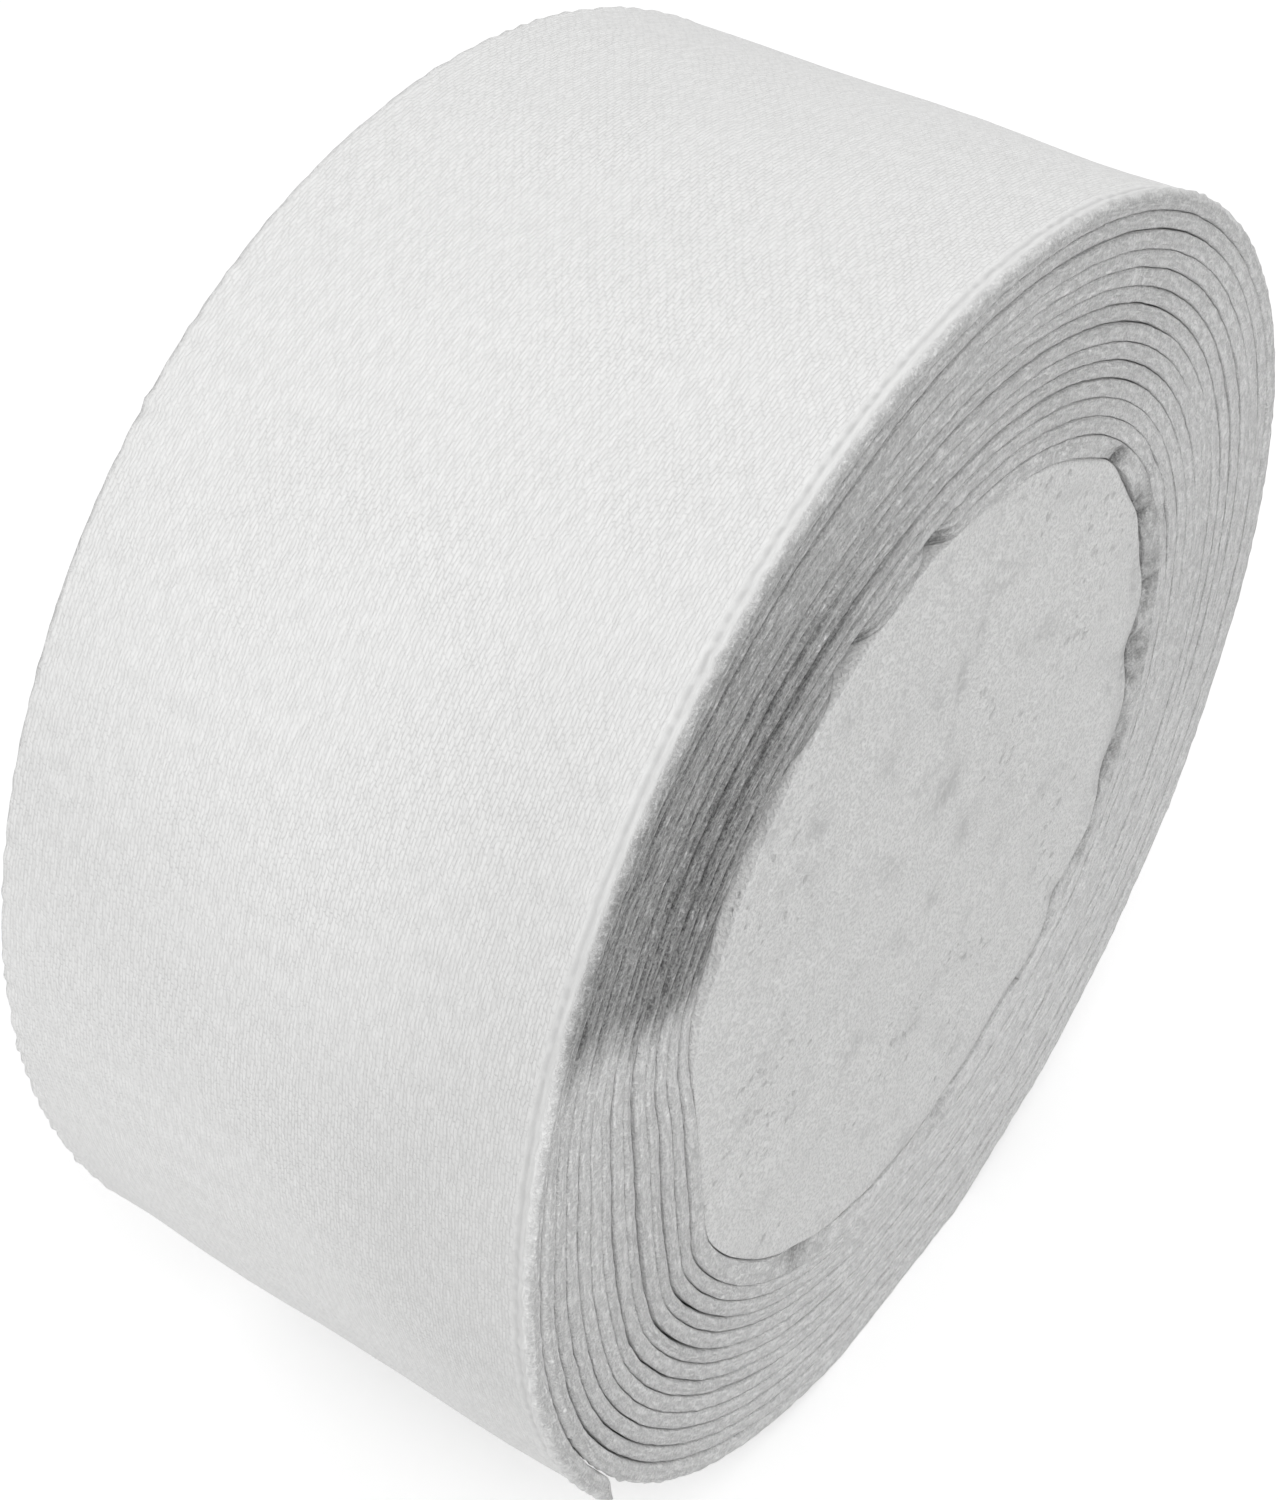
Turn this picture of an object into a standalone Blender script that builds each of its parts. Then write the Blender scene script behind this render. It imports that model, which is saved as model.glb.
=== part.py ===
"""A roll of woven grip tape on a plug, standing on its rim.

Units are metres and +Z is up. The roll's axis runs along Y, with the photographed end at -Y.
Angles are in degrees about that axis, counterclockwise seen from -Y, from +X through +Z. A wound
angle keeps counting past 360, so that it also says how many turns lie underneath.

The tape starts in folds in the slack beside the plug, winds outwards in one unbroken spiral, and
ends in a tail that peels off the roll. The tail is divided into short stretches on hinge lines,
which stand in for its bending.
"""

import math

import bmesh
import bpy
import numpy as np

# The tape. It is drawn thinner than the soft cloth, which fills part of the gap between turns.
TAPE_WIDTH = 0.0270
TAPE_THICKNESS = 0.00030
TURN_GAP = 0.000526
EDGE_ROUNDING = 0.00015

# The winding.
FULL_TURNS = 13
START_ANGLE = 300.0
FREE_END_ANGLE = 215.0
WINDING_OFFSET = 0.0012
OUT_OF_ROUND = 0.00025
LOBES = 3
LOBE_ANGLE = 11.6
TELESCOPE = 0.0004
REST_FLAT_DEPTH = 0.0005
DOWN_ANGLE = 270.0

# The plug: a round that sits off the roll's axis, with one flattened side.
CORE_RADIUS = 0.0191
CORE_WIDTH = 0.0270
CORE_OFFSET = 0.0017
CORE_OFFSET_ANGLE = 152.0
CORE_FLAT_DEPTH = 0.0009
CORE_FLAT_ANGLE = 186.0
CORE_RIM_ROUNDING = 0.0004
CORE_CLEARANCE = 0.00035

# The folds in which the tape starts.
FOLDED_RUN = 105.0
FOLDS = 4
FOLD_FILL = 0.8

# The tail.
TAIL_SPAN = 64.0
TAIL_STRETCHES = 4
TAIL_LIFT = 0.0005
HINGE_GAP = 0.0003

# Counts of points, which set how smooth the curves are.
TURN_POINTS = 36
FOLD_POINTS = 9
STRETCH_POINTS = 5
CORE_POINTS = 72
CORE_RIM_SEGMENTS = 2
SHARP_ANGLE = math.radians(35.0)
ANGLE_TOLERANCE = 0.01

# Beyond 60 degrees from the plug's flat side its chord no longer bounds the outline.
LEAST_FACING = 0.5

CLOTH_COLOUR = (0.84, 0.84, 0.83)
CLOTH_ROUGHNESS = 0.8
PLUG_COLOUR = (0.74, 0.74, 0.73)
PLUG_ROUGHNESS = 0.9
ROLL_ORIGIN = (0.0, 0.0, 0.0)

TURN_PITCH = TAPE_THICKNESS + TURN_GAP
FREE_END = FREE_END_ANGLE + 360.0 * (FULL_TURNS + (FREE_END_ANGLE < START_ANGLE))
TAIL_START = FREE_END - TAIL_SPAN
TURNS = (FREE_END - START_ANGLE) / 360.0


def turns_under(wound):
    """Count of turns from the tape's start to a wound angle."""
    return (wound - START_ANGLE) / 360.0


def cosine(degrees):
    return np.cos(np.radians(degrees))


def plug_flattening(angle):
    """How far the plug's flat side lies inside its round, along the ray from the roll's axis."""
    off_axis = CORE_OFFSET * np.sin(np.radians(angle - CORE_OFFSET_ANGLE))
    round_side = CORE_OFFSET * cosine(angle - CORE_OFFSET_ANGLE) + np.sqrt(CORE_RADIUS**2 - off_axis**2)
    chord = CORE_RADIUS - CORE_FLAT_DEPTH + CORE_OFFSET * cosine(CORE_FLAT_ANGLE - CORE_OFFSET_ANGLE)
    facing = np.maximum(cosine(angle - CORE_FLAT_ANGLE), LEAST_FACING)
    return np.maximum(round_side - chord / facing, 0.0), round_side


def plug_radius(angle):
    """Distance from the roll's axis to the plug's outline."""
    flattening, round_side = plug_flattening(angle)
    return round_side - flattening


def first_radius():
    """Radius at the tape's start, from which its first turn comes to rest against the plug."""
    seat_turns = ((CORE_OFFSET_ANGLE - START_ANGLE) % 360.0) / 360.0
    seat = CORE_RADIUS + CORE_OFFSET + CORE_CLEARANCE + TAPE_THICKNESS / 2.0
    return seat - seat_turns * TURN_PITCH - WINDING_OFFSET * (1.0 - seat_turns / TURNS)


def free_radius(wound):
    """Mid-thickness radius of the winding before it is pressed flat underneath.

    It grows by one pitch a turn. The plug's offset and flat side show in the inner turns and fade
    outwards, while the outer turns take on a slight out-of-round shape.
    """
    share = turns_under(wound) / TURNS
    radius = first_radius() + turns_under(wound) * TURN_PITCH
    radius = radius + WINDING_OFFSET * cosine(wound - CORE_OFFSET_ANGLE) * (1.0 - share)
    radius = radius - plug_flattening(wound)[0] * (1.0 - share)
    return radius + OUT_OF_ROUND * cosine(LOBES * (wound - LOBE_ANGLE)) * share


LOWEST = DOWN_ANGLE + 360.0 * math.floor((TAIL_START - DOWN_ANGLE) / 360.0)
LOWEST_RADIUS = float(free_radius(LOWEST))
FLAT_HALF_ANGLE = math.degrees(math.acos(1.0 - REST_FLAT_DEPTH / LOWEST_RADIUS))
AXIS_HEIGHT = LOWEST_RADIUS - REST_FLAT_DEPTH + TAPE_THICKNESS / 2.0


def tape_radius(wound):
    """Mid-thickness radius of the tape: each turn runs level across the stretch it rests on."""
    wound = np.asarray(wound, float)
    off_down = (wound - DOWN_ANGLE + 180.0) % 360.0 - 180.0
    level = free_radius(wound - off_down) * cosine(FLAT_HALF_ANGLE) / cosine(off_down)
    pressed = np.abs(off_down) <= FLAT_HALF_ANGLE + ANGLE_TOLERANCE
    radius = np.where(pressed, level, free_radius(wound))
    along = np.clip((wound - START_ANGLE) / FOLDED_RUN, 0.0, 1.0)
    slack = radius - TAPE_THICKNESS / 2.0 - CORE_CLEARANCE - plug_radius(wound)
    folds = 0.5 - 0.5 * np.cos(2.0 * math.pi * FOLDS * along)
    radius = radius - FOLD_FILL * np.maximum(slack, 0.0) * folds
    lift = np.clip((wound - TAIL_START) / TAIL_SPAN, 0.0, 1.0) ** 2
    return radius + TAIL_LIFT * lift


def edge_shift(wound):
    """How far along Y the tape has crept at a wound angle: none at the first and last turn."""
    return TELESCOPE * np.sin(math.pi * turns_under(wound) / TURNS) ** 2


def tape_line(wound):
    """Points (x, z) of the tape's mid-thickness line."""
    radius = tape_radius(wound)
    turned = np.radians(wound)
    return np.stack([radius * np.cos(turned), AXIS_HEIGHT + radius * np.sin(turned)], axis=1)


def outward(line):
    """Mitred normals, so that a line shifted by them keeps its distance from every facet."""
    run = np.diff(line, axis=0)
    run /= np.linalg.norm(run, axis=1)[:, None]
    facing = np.stack([run[:, 1], -run[:, 0]], axis=1)
    before = np.vstack([facing[:1], facing])
    after = np.vstack([facing, facing[-1:]])
    return (before + after) / (1.0 + np.sum(before * after, axis=1))[:, None]


def winding_angles():
    """Wound angles of the winding's points: the same places in each turn, and more in the folds."""
    folds_end = START_ANGLE + FOLDED_RUN
    folded = np.linspace(START_ANGLE, folds_end, FOLDS * FOLD_POINTS, endpoint=False)
    round_part = np.linspace(FLAT_HALF_ANGLE, 360.0 - FLAT_HALF_ANGLE, TURN_POINTS - 1)
    places = DOWN_ANGLE + np.concatenate([[0.0], round_part])
    count = int(math.ceil(TURNS)) + 1
    turns = (places[None, :] + 360.0 * np.arange(-1, count)[:, None]).ravel()
    half_step = 0.5 * 360.0 / TURN_POINTS
    wound = turns[(turns > folds_end - ANGLE_TOLERANCE) & (turns < winding_end() - half_step)]
    return np.concatenate([folded, wound, [winding_end()]])


def hinge_half_angle():
    """Half of the angle that the gap at a hinge line takes up."""
    return math.degrees(HINGE_GAP / 2.0 / float(free_radius(TAIL_START)))


def winding_end():
    return TAIL_START - hinge_half_angle()


def finish(name, colour, roughness):
    material = bpy.data.materials.new(name)
    material.use_nodes = True
    shader = material.node_tree.nodes["Principled BSDF"]
    shader.inputs["Base Color"].default_value = (*colour, 1.0)
    shader.inputs["Roughness"].default_value = roughness
    shader.inputs["Metallic"].default_value = 0.0
    material.diffuse_color = (*colour, 1.0)
    return material


def placed(name, mesh, material, origin, parent=None, held_at=ROLL_ORIGIN):
    """An object whose origin is a point of the roll, carried by a parent whose origin is held_at."""
    mesh.shade_smooth()
    mesh.set_sharp_from_angle(angle=SHARP_ANGLE)
    mesh.materials.append(material)
    made = bpy.data.objects.new(name, mesh)
    bpy.context.scene.collection.objects.link(made)
    made.parent = parent
    made.location = [place - held for place, held in zip(origin, held_at)]
    return made


def strip_mesh(name, wound, origin):
    """The tape between its first and last wound angle, as one closed strip with rounded edges."""
    line = tape_line(wound)
    normal = outward(line)
    half, thick = TAPE_WIDTH / 2.0, TAPE_THICKNESS / 2.0
    face = half - EDGE_ROUNDING
    across = np.array([-half, -face, face, half, face, -face])
    depth = np.array([0.0, thick, thick, 0.0, -thick, -thick])
    rings = np.empty((len(wound), len(across), 3))
    rings[:, :, 0] = line[:, :1] + normal[:, :1] * depth - origin[0]
    rings[:, :, 1] = across + edge_shift(wound)[:, None] - origin[1]
    rings[:, :, 2] = line[:, 1:] + normal[:, 1:] * depth - origin[2]
    shape = bmesh.new()
    rows = [[shape.verts.new(point) for point in ring] for ring in rings]
    sides = len(across)
    for near, far in zip(rows, rows[1:]):
        for i in range(sides):
            j = (i + 1) % sides
            shape.faces.new((near[i], near[j], far[j], far[i]))
    shape.faces.new(rows[0])
    shape.faces.new(rows[-1])
    bmesh.ops.recalc_face_normals(shape, faces=shape.faces)
    mesh = bpy.data.meshes.new(name)
    shape.to_mesh(mesh)
    shape.free()
    return mesh


def least_gap(wound):
    """Smallest clear distance between one turn's outer face and the next turn's inner face."""
    line = tape_line(wound)
    shift = outward(line) * TAPE_THICKNESS / 2.0
    outer, inner = line + shift, line - shift
    starts, runs = inner[:-1], np.diff(inner, axis=0)
    lengths = np.sum(runs * runs, axis=1)
    least = math.inf
    for point, angle in zip(outer, wound):
        beyond = (wound[:-1] > angle + 180.0) & (wound[:-1] < angle + 540.0)
        if not beyond.any():
            continue
        reach = point - starts[beyond]
        share = np.clip(np.sum(reach * runs[beyond], axis=1) / lengths[beyond], 0.0, 1.0)
        off = reach - share[:, None] * runs[beyond]
        least = min(least, float(np.min(np.linalg.norm(off, axis=1))))
    return least


def make_winding(material):
    wound = winding_angles()
    print(f"tape_winding: least gap to itself {least_gap(wound) * 1000.0:.3f} mm")
    mesh = strip_mesh("tape_winding", wound, ROLL_ORIGIN)
    return placed("tape_winding", mesh, material, ROLL_ORIGIN)


def make_core(material):
    """The plug: its outline drawn round the offset centre, extruded, with rounded rims."""
    centre = (
        CORE_OFFSET * float(cosine(CORE_OFFSET_ANGLE)),
        AXIS_HEIGHT + CORE_OFFSET * math.sin(math.radians(CORE_OFFSET_ANGLE)),
    )
    angles = np.linspace(0.0, 360.0, CORE_POINTS, endpoint=False)
    radius = plug_radius(angles)
    shape = bmesh.new()
    outline = [
        shape.verts.new(
            (r * math.cos(math.radians(a)) - centre[0], -CORE_WIDTH / 2.0,
             AXIS_HEIGHT + r * math.sin(math.radians(a)) - centre[1])
        )
        for a, r in zip(angles, radius)
    ]
    front = shape.faces.new(outline)
    drawn = bmesh.ops.extrude_face_region(shape, geom=[front])["geom"]
    back = [item for item in drawn if isinstance(item, bmesh.types.BMVert)]
    bmesh.ops.translate(shape, verts=back, vec=(0.0, CORE_WIDTH, 0.0))
    bmesh.ops.recalc_face_normals(shape, faces=shape.faces)
    mesh = bpy.data.meshes.new("core_plug")
    shape.to_mesh(mesh)
    shape.free()
    core = placed("core_plug", mesh, material, (centre[0], 0.0, centre[1]))
    rim = core.modifiers.new("rim", "BEVEL")
    rim.width = CORE_RIM_ROUNDING
    rim.segments = CORE_RIM_SEGMENTS
    rim.limit_method = "ANGLE"
    rim.angle_limit = SHARP_ANGLE
    return core


def hinge_point(wound):
    """Point of a hinge line, at the tape's mid-thickness and mid-width."""
    x, z = tape_line(np.array([wound]))[0]
    return (float(x), 0.0, float(z))


def make_tail(material):
    """The tail's stretches, each carried by the one before it on a hinge line along Y."""
    span = TAIL_SPAN / TAIL_STRETCHES
    gap = hinge_half_angle()
    carrier, held_at = None, ROLL_ORIGIN
    for number in range(TAIL_STRETCHES):
        hinge = TAIL_START + number * span
        last = number == TAIL_STRETCHES - 1
        wound = np.linspace(hinge + gap, hinge + span - (0.0 if last else gap), STRETCH_POINTS)
        origin = hinge_point(hinge)
        name = f"tape_tail_{number + 1}"
        mesh = strip_mesh(name, wound, origin)
        carrier = placed(name, mesh, material, origin, carrier, held_at)
        held_at = origin


def main():
    for old in list(bpy.data.objects):
        bpy.data.objects.remove(old, do_unlink=True)
    cloth = finish("white_woven_cloth", CLOTH_COLOUR, CLOTH_ROUGHNESS)
    plug = finish("pale_plug", PLUG_COLOUR, PLUG_ROUGHNESS)
    make_winding(cloth)
    make_core(plug)
    make_tail(cloth)


main()
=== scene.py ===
"""The looks of a roll of woven grip tape on a pressed-fibre plug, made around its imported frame.

Units are metres and +Z is up. The roll's axis runs along Y, with the photographed end at -Y.
Angles are about that axis, counterclockwise seen from -Y, from +X through +Z. A wound angle, in
degrees, keeps counting past 360, so that it also says how many turns lie underneath.

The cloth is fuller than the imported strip. Its outer face lies where the strip's outer face is, and
its thickness fills the space down to the turn below, so the turns' rounded edges touch and leave a
groove between them, as on the real roll.
"""

from __future__ import annotations

import logging
import math
from dataclasses import dataclass, field
from enum import Enum

import bpy
import numpy as np
from mathutils import Matrix

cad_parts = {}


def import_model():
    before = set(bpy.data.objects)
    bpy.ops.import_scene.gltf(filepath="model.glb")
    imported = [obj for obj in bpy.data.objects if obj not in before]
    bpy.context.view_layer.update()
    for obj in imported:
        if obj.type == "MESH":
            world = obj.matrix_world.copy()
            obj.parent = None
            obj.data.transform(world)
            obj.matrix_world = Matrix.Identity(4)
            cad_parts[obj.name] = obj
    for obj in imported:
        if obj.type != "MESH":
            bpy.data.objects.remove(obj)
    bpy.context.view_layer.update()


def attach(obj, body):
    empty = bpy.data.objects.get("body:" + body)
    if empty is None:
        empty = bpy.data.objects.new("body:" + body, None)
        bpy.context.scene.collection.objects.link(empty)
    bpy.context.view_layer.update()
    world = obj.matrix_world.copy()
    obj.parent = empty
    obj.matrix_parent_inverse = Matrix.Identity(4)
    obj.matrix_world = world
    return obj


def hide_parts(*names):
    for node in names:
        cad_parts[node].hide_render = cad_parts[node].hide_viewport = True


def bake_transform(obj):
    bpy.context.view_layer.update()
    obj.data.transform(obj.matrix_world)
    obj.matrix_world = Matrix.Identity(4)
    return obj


LOG = logging.getLogger("grip_tape_roll")
FULL_TURN = 360.0
SHARP_ANGLE = 50.0
MM = 0.001

Colour = tuple[float, float, float, float]
Bells = tuple[tuple[float, float, float], ...]
Columns = dict[str, np.ndarray]
Span = tuple[float, float]
FourSpan = tuple[float, float, float, float]
Wired = bpy.types.NodeSocket | float | Colour
Inputs = dict[str | int, Wired]


class Zone(Enum):
    """Which part of the tape's cross-section a column of points lies on."""

    INNER_NEAR = 0
    NEAR_EDGE = 1
    OUTER = 2
    FAR_EDGE = 3
    INNER_FAR = 4


class Hold(Enum):
    FOLDED = "folded"


def cosine(degrees: np.ndarray | float) -> np.ndarray:
    """Cosine of an angle in degrees."""
    return np.cos(np.radians(degrees))


def smooth_step(low: float, high: float, value: np.ndarray | float) -> np.ndarray:
    """Rises from 0 at low to 1 at high as t * t * (3 - 2 t), with t the share of the way.

    Args:
        low: Value at which it leaves 0.
        high: Value at which it reaches 1.
        value: Where it is read.

    Returns:
        The eased share, from 0 to 1.
    """
    share = np.clip((np.asarray(value, float) - low) / (high - low), 0.0, 1.0)
    return share * share * (3.0 - 2.0 * share)


def bump_at(place: float, half_width: float, value: np.ndarray) -> np.ndarray:
    """A bell of height 1: exp(-((value - place) / half_width) squared).

    Args:
        place: Where the bell stands.
        half_width: Distance from its middle at which it has fallen to 1/e.
        value: Where it is read.

    Returns:
        The bell's height there.
    """
    return np.exp(-(((value - place) / half_width) ** 2))


def bump_round(angle: float, half_width: float, wound: np.ndarray) -> np.ndarray:
    """The same bell on angles in degrees, which repeats every turn."""
    off = (np.asarray(wound, float) - angle + 180.0) % FULL_TURN - 180.0
    return bump_at(0.0, half_width, off)


def bells(table: Bells, value: np.ndarray | float, every_turn: bool = False) -> np.ndarray:
    """The sum of a table's bells.

    Args:
        table: Place, half width and height of each bell.
        value: Where the sum is read.
        every_turn: Whether the places are angles in degrees that repeat every turn.

    Returns:
        The sum there.
    """
    shape = bump_round if every_turn else bump_at
    return sum(height * shape(place, half_width, value) for place, half_width, height in table)


@dataclass(frozen=True)
class Ripple:
    """Smooth seeded noise: a sum of sine waves, scaled to about -1 to 1.

    Formula: the sum over the waves of sin(2 pi (direction . place) / length + phase), times the
    square root of two over the count, halved. The lengths are the given one times e to a power
    between minus and plus the spread.
    """

    length: float
    seed: int
    waves: int = 9
    spread: float = 0.45

    def _draw(self, axes: int) -> tuple[np.ndarray, np.ndarray]:
        """Seeded wave numbers and phases.

        Args:
            axes: Count of coordinates that the noise reads.

        Returns:
            The wave numbers, one row a wave, and the phases.
        """
        rng = np.random.default_rng(self.seed)
        size = self.length * np.exp(rng.uniform(-self.spread, self.spread, self.waves))
        heading = rng.normal(size=(self.waves, axes))
        heading /= np.linalg.norm(heading, axis=1)[:, None]
        numbers = 2.0 * math.pi * heading / size[:, None]
        return numbers, rng.uniform(0.0, 2.0 * math.pi, self.waves)

    def read(self, *places: np.ndarray) -> np.ndarray:
        """The noise at whole arrays of places.

        Args:
            *places: One array a coordinate, of shapes that broadcast together.

        Returns:
            An array of their shared shape.
        """
        numbers, phases = self._draw(len(places))
        total = np.zeros(np.broadcast(*places).shape)
        for number, phase in zip(numbers, phases):
            angle = sum(n * np.asarray(p, float) for n, p in zip(number, places))
            total = total + np.sin(angle + phase)
        return total * math.sqrt(2.0 / self.waves) / 2.0


@dataclass(frozen=True)
class RollForm:
    """Sizes of the roll and the rule of its spiral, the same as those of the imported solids."""

    tape_width: float = 0.0270
    strip_thickness: float = 0.00030
    turn_gap: float = 0.000526
    full_turns: int = 13
    start_angle: float = 300.0
    free_end_angle: float = 215.0
    winding_offset: float = 0.0012
    out_of_round: float = 0.00025
    lobes: int = 3
    lobe_angle: float = 11.6
    telescope: float = 0.0004
    rest_flat_depth: float = 0.0005
    down_angle: float = 270.0
    core_radius: float = 0.0191
    core_width: float = 0.0270
    core_offset: float = 0.0017
    core_offset_angle: float = 152.0
    core_flat_depth: float = 0.0009
    core_flat_angle: float = 186.0
    core_clearance: float = 0.00035
    folded_run: float = 105.0
    folds: int = 4
    fold_fill: float = 0.8
    tail_span: float = 64.0
    tail_stretches: int = 4
    tail_lift: float = 0.0005
    least_facing: float = 0.5
    flat_softness: float = 0.00018
    level_reach: float = 3.0
    outline_waves: Bells = (
        (2.0, 6.0, -0.0006), (344.0, 6.0, -0.0001), (330.0, 7.0, 0.0004), (315.0, 5.0, -0.0003),
        (304.0, 5.0, 0.0004), (24.0, 8.0, 0.0001), (52.0, 7.0, 0.0002), (275.0, 9.0, -0.0002),
        (86.0, 5.0, -0.0002),
    )

    @property
    def pitch(self) -> float:
        """Distance from one turn to the next."""
        return self.strip_thickness + self.turn_gap

    @property
    def free_end(self) -> float:
        """Wound angle of the tape's cut end."""
        wraps = self.full_turns + (self.free_end_angle < self.start_angle)
        return self.free_end_angle + FULL_TURN * wraps

    @property
    def tail_start(self) -> float:
        """Wound angle of the tail's first hinge line."""
        return self.free_end - self.tail_span

    @property
    def turns(self) -> float:
        """Count of turns from the tape's start to its cut end."""
        return (self.free_end - self.start_angle) / FULL_TURN

    def share(self, wound: np.ndarray | float) -> np.ndarray:
        """How far along the winding a wound angle is, from 0 at the start to 1 at the cut end."""
        return (np.asarray(wound, float) - self.start_angle) / FULL_TURN / self.turns

    def flattening(self, angle: np.ndarray | float) -> tuple[np.ndarray, np.ndarray]:
        """How far the plug's flat side lies inside its round, and that round, along a ray.

        Round: offset cos(a) + sqrt(radius squared - (offset sin(a)) squared), a from the offset's
        direction. The flat is a chord at a fixed distance, over the cosine from its direction.
        What the round has over the chord, g, becomes (g + sqrt(g squared + softness squared)) / 2,
        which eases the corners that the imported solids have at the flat's ends.

        Args:
            angle: Direction from the roll's axis, in degrees.

        Returns:
            The flattening and the round's distance from the roll's axis.
        """
        off_axis = self.core_offset * np.sin(np.radians(angle - self.core_offset_angle))
        along = self.core_offset * cosine(angle - self.core_offset_angle)
        round_side = along + np.sqrt(self.core_radius**2 - off_axis**2)
        chord = self.core_radius - self.core_flat_depth
        chord += self.core_offset * float(cosine(self.core_flat_angle - self.core_offset_angle))
        facing = np.maximum(cosine(angle - self.core_flat_angle), self.least_facing)
        over = round_side - chord / facing
        return (over + np.sqrt(over**2 + self.flat_softness**2)) / 2.0, round_side

    def plug_radius(self, angle: np.ndarray | float) -> np.ndarray:
        """Distance from the roll's axis to the plug's outline."""
        flattening, round_side = self.flattening(angle)
        return round_side - flattening

    def soft_plug_radius(self, angle: np.ndarray | float) -> np.ndarray:
        """The plug's outline with its few soft waves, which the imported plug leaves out."""
        return self.plug_radius(angle) + bells(self.outline_waves, angle, every_turn=True)

    def first_radius(self) -> float:
        """Radius at the tape's start, from which the first turn comes to rest on the plug.

        Formula: where the strip just clears the plug's far side, less what the spiral and the
        winding's offset add on the way from the start to there.

        Returns:
            The radius in metres.
        """
        seat_turns = ((self.core_offset_angle - self.start_angle) % FULL_TURN) / FULL_TURN
        seat = self.core_radius + self.core_offset + self.core_clearance + self.strip_thickness / 2.0
        return seat - seat_turns * self.pitch - self.winding_offset * (1.0 - seat_turns / self.turns)

    def free_radius(self, wound: np.ndarray | float) -> np.ndarray:
        """Mid-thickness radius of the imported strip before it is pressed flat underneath.

        Formula: first radius + turns * pitch + (offset * cos(from the offset's direction) -
        flattening) * (1 - share) + out-of-round * cos(3 * (from the lobe)) * share.

        Args:
            wound: Wound angles in degrees.

        Returns:
            The radius in metres.
        """
        share = self.share(wound)
        radius = self.first_radius() + share * self.turns * self.pitch
        radius = radius + self.winding_offset * cosine(wound - self.core_offset_angle) * (1.0 - share)
        radius = radius - self.flattening(wound)[0] * (1.0 - share)
        return radius + self.out_of_round * cosine(self.lobes * (wound - self.lobe_angle)) * share

    @property
    def lowest_radius(self) -> float:
        """Free radius of the turn that the roll rests on, straight down."""
        whole = math.floor((self.tail_start - self.down_angle) / FULL_TURN)
        return float(self.free_radius(self.down_angle + FULL_TURN * whole))

    @property
    def flat_half_angle(self) -> float:
        """Half of the angle over which each turn runs level, in degrees."""
        return math.degrees(math.acos(1.0 - self.rest_flat_depth / self.lowest_radius))

    @property
    def axis_height(self) -> float:
        """Height of the roll's axis over the surface that it stands on."""
        return self.lowest_radius - self.rest_flat_depth + self.strip_thickness / 2.0

    def strip_radius(self, wound: np.ndarray, folded: float = 1.0) -> np.ndarray:
        """Mid-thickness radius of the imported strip: level underneath, folded first, lifted last.

        Underneath it is the lesser of the free radius and the level line's distance, which is the
        lowest point's free radius * cos(half angle) / cos(angle from straight down). Over the
        folded run it dips by a share of the slack beside the plug, as 0.5 - 0.5 cos(folds).

        Args:
            wound: Wound angles in degrees.
            folded: Share of the folds' depth that is kept.

        Returns:
            The radius in metres.
        """
        wound = np.asarray(wound, float)
        off_down = (wound - self.down_angle + 180.0) % FULL_TURN - 180.0
        near_down = np.abs(off_down) < self.level_reach * self.flat_half_angle
        lowest = self.free_radius(wound - off_down) * cosine(self.flat_half_angle)
        level = lowest / np.where(near_down, cosine(off_down), 1.0)
        radius = self.free_radius(wound)
        radius = np.where(near_down, np.minimum(radius, level), radius)
        along = np.clip((wound - self.start_angle) / self.folded_run, 0.0, 1.0)
        slack = radius - self.strip_thickness / 2.0 - self.core_clearance - self.plug_radius(wound)
        folds = 0.5 - 0.5 * np.cos(2.0 * math.pi * self.folds * along)
        radius = radius - folded * self.fold_fill * np.maximum(slack, 0.0) * folds
        lift = np.clip((wound - self.tail_start) / self.tail_span, 0.0, 1.0) ** 2
        return radius + self.tail_lift * lift

    def edge_shift(self, wound: np.ndarray) -> np.ndarray:
        """How far along Y the tape has crept: telescope * sin squared of pi * share."""
        return self.telescope * np.sin(math.pi * self.share(wound)) ** 2

    def plug_centre(self) -> np.ndarray:
        """Centre of the plug.

        Returns:
            Its x and z.
        """
        turned = math.radians(self.core_offset_angle)
        x, z = self.core_offset * math.cos(turned), self.core_offset * math.sin(turned)
        return np.array([x, self.axis_height + z])

    def hinge(self, number: int) -> float:
        """Wound angle of a hinge line of the tail, counted from 0."""
        return self.tail_start + number * self.tail_span / self.tail_stretches

    def point(self, wound: float) -> tuple[float, float, float]:
        """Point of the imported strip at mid-thickness and mid-width.

        Args:
            wound: Wound angle in degrees.

        Returns:
            Its x, y and z.
        """
        radius = float(self.strip_radius(np.array([wound]))[0])
        turned = math.radians(wound)
        return (radius * math.cos(turned), 0.0, self.axis_height + radius * math.sin(turned))


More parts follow.
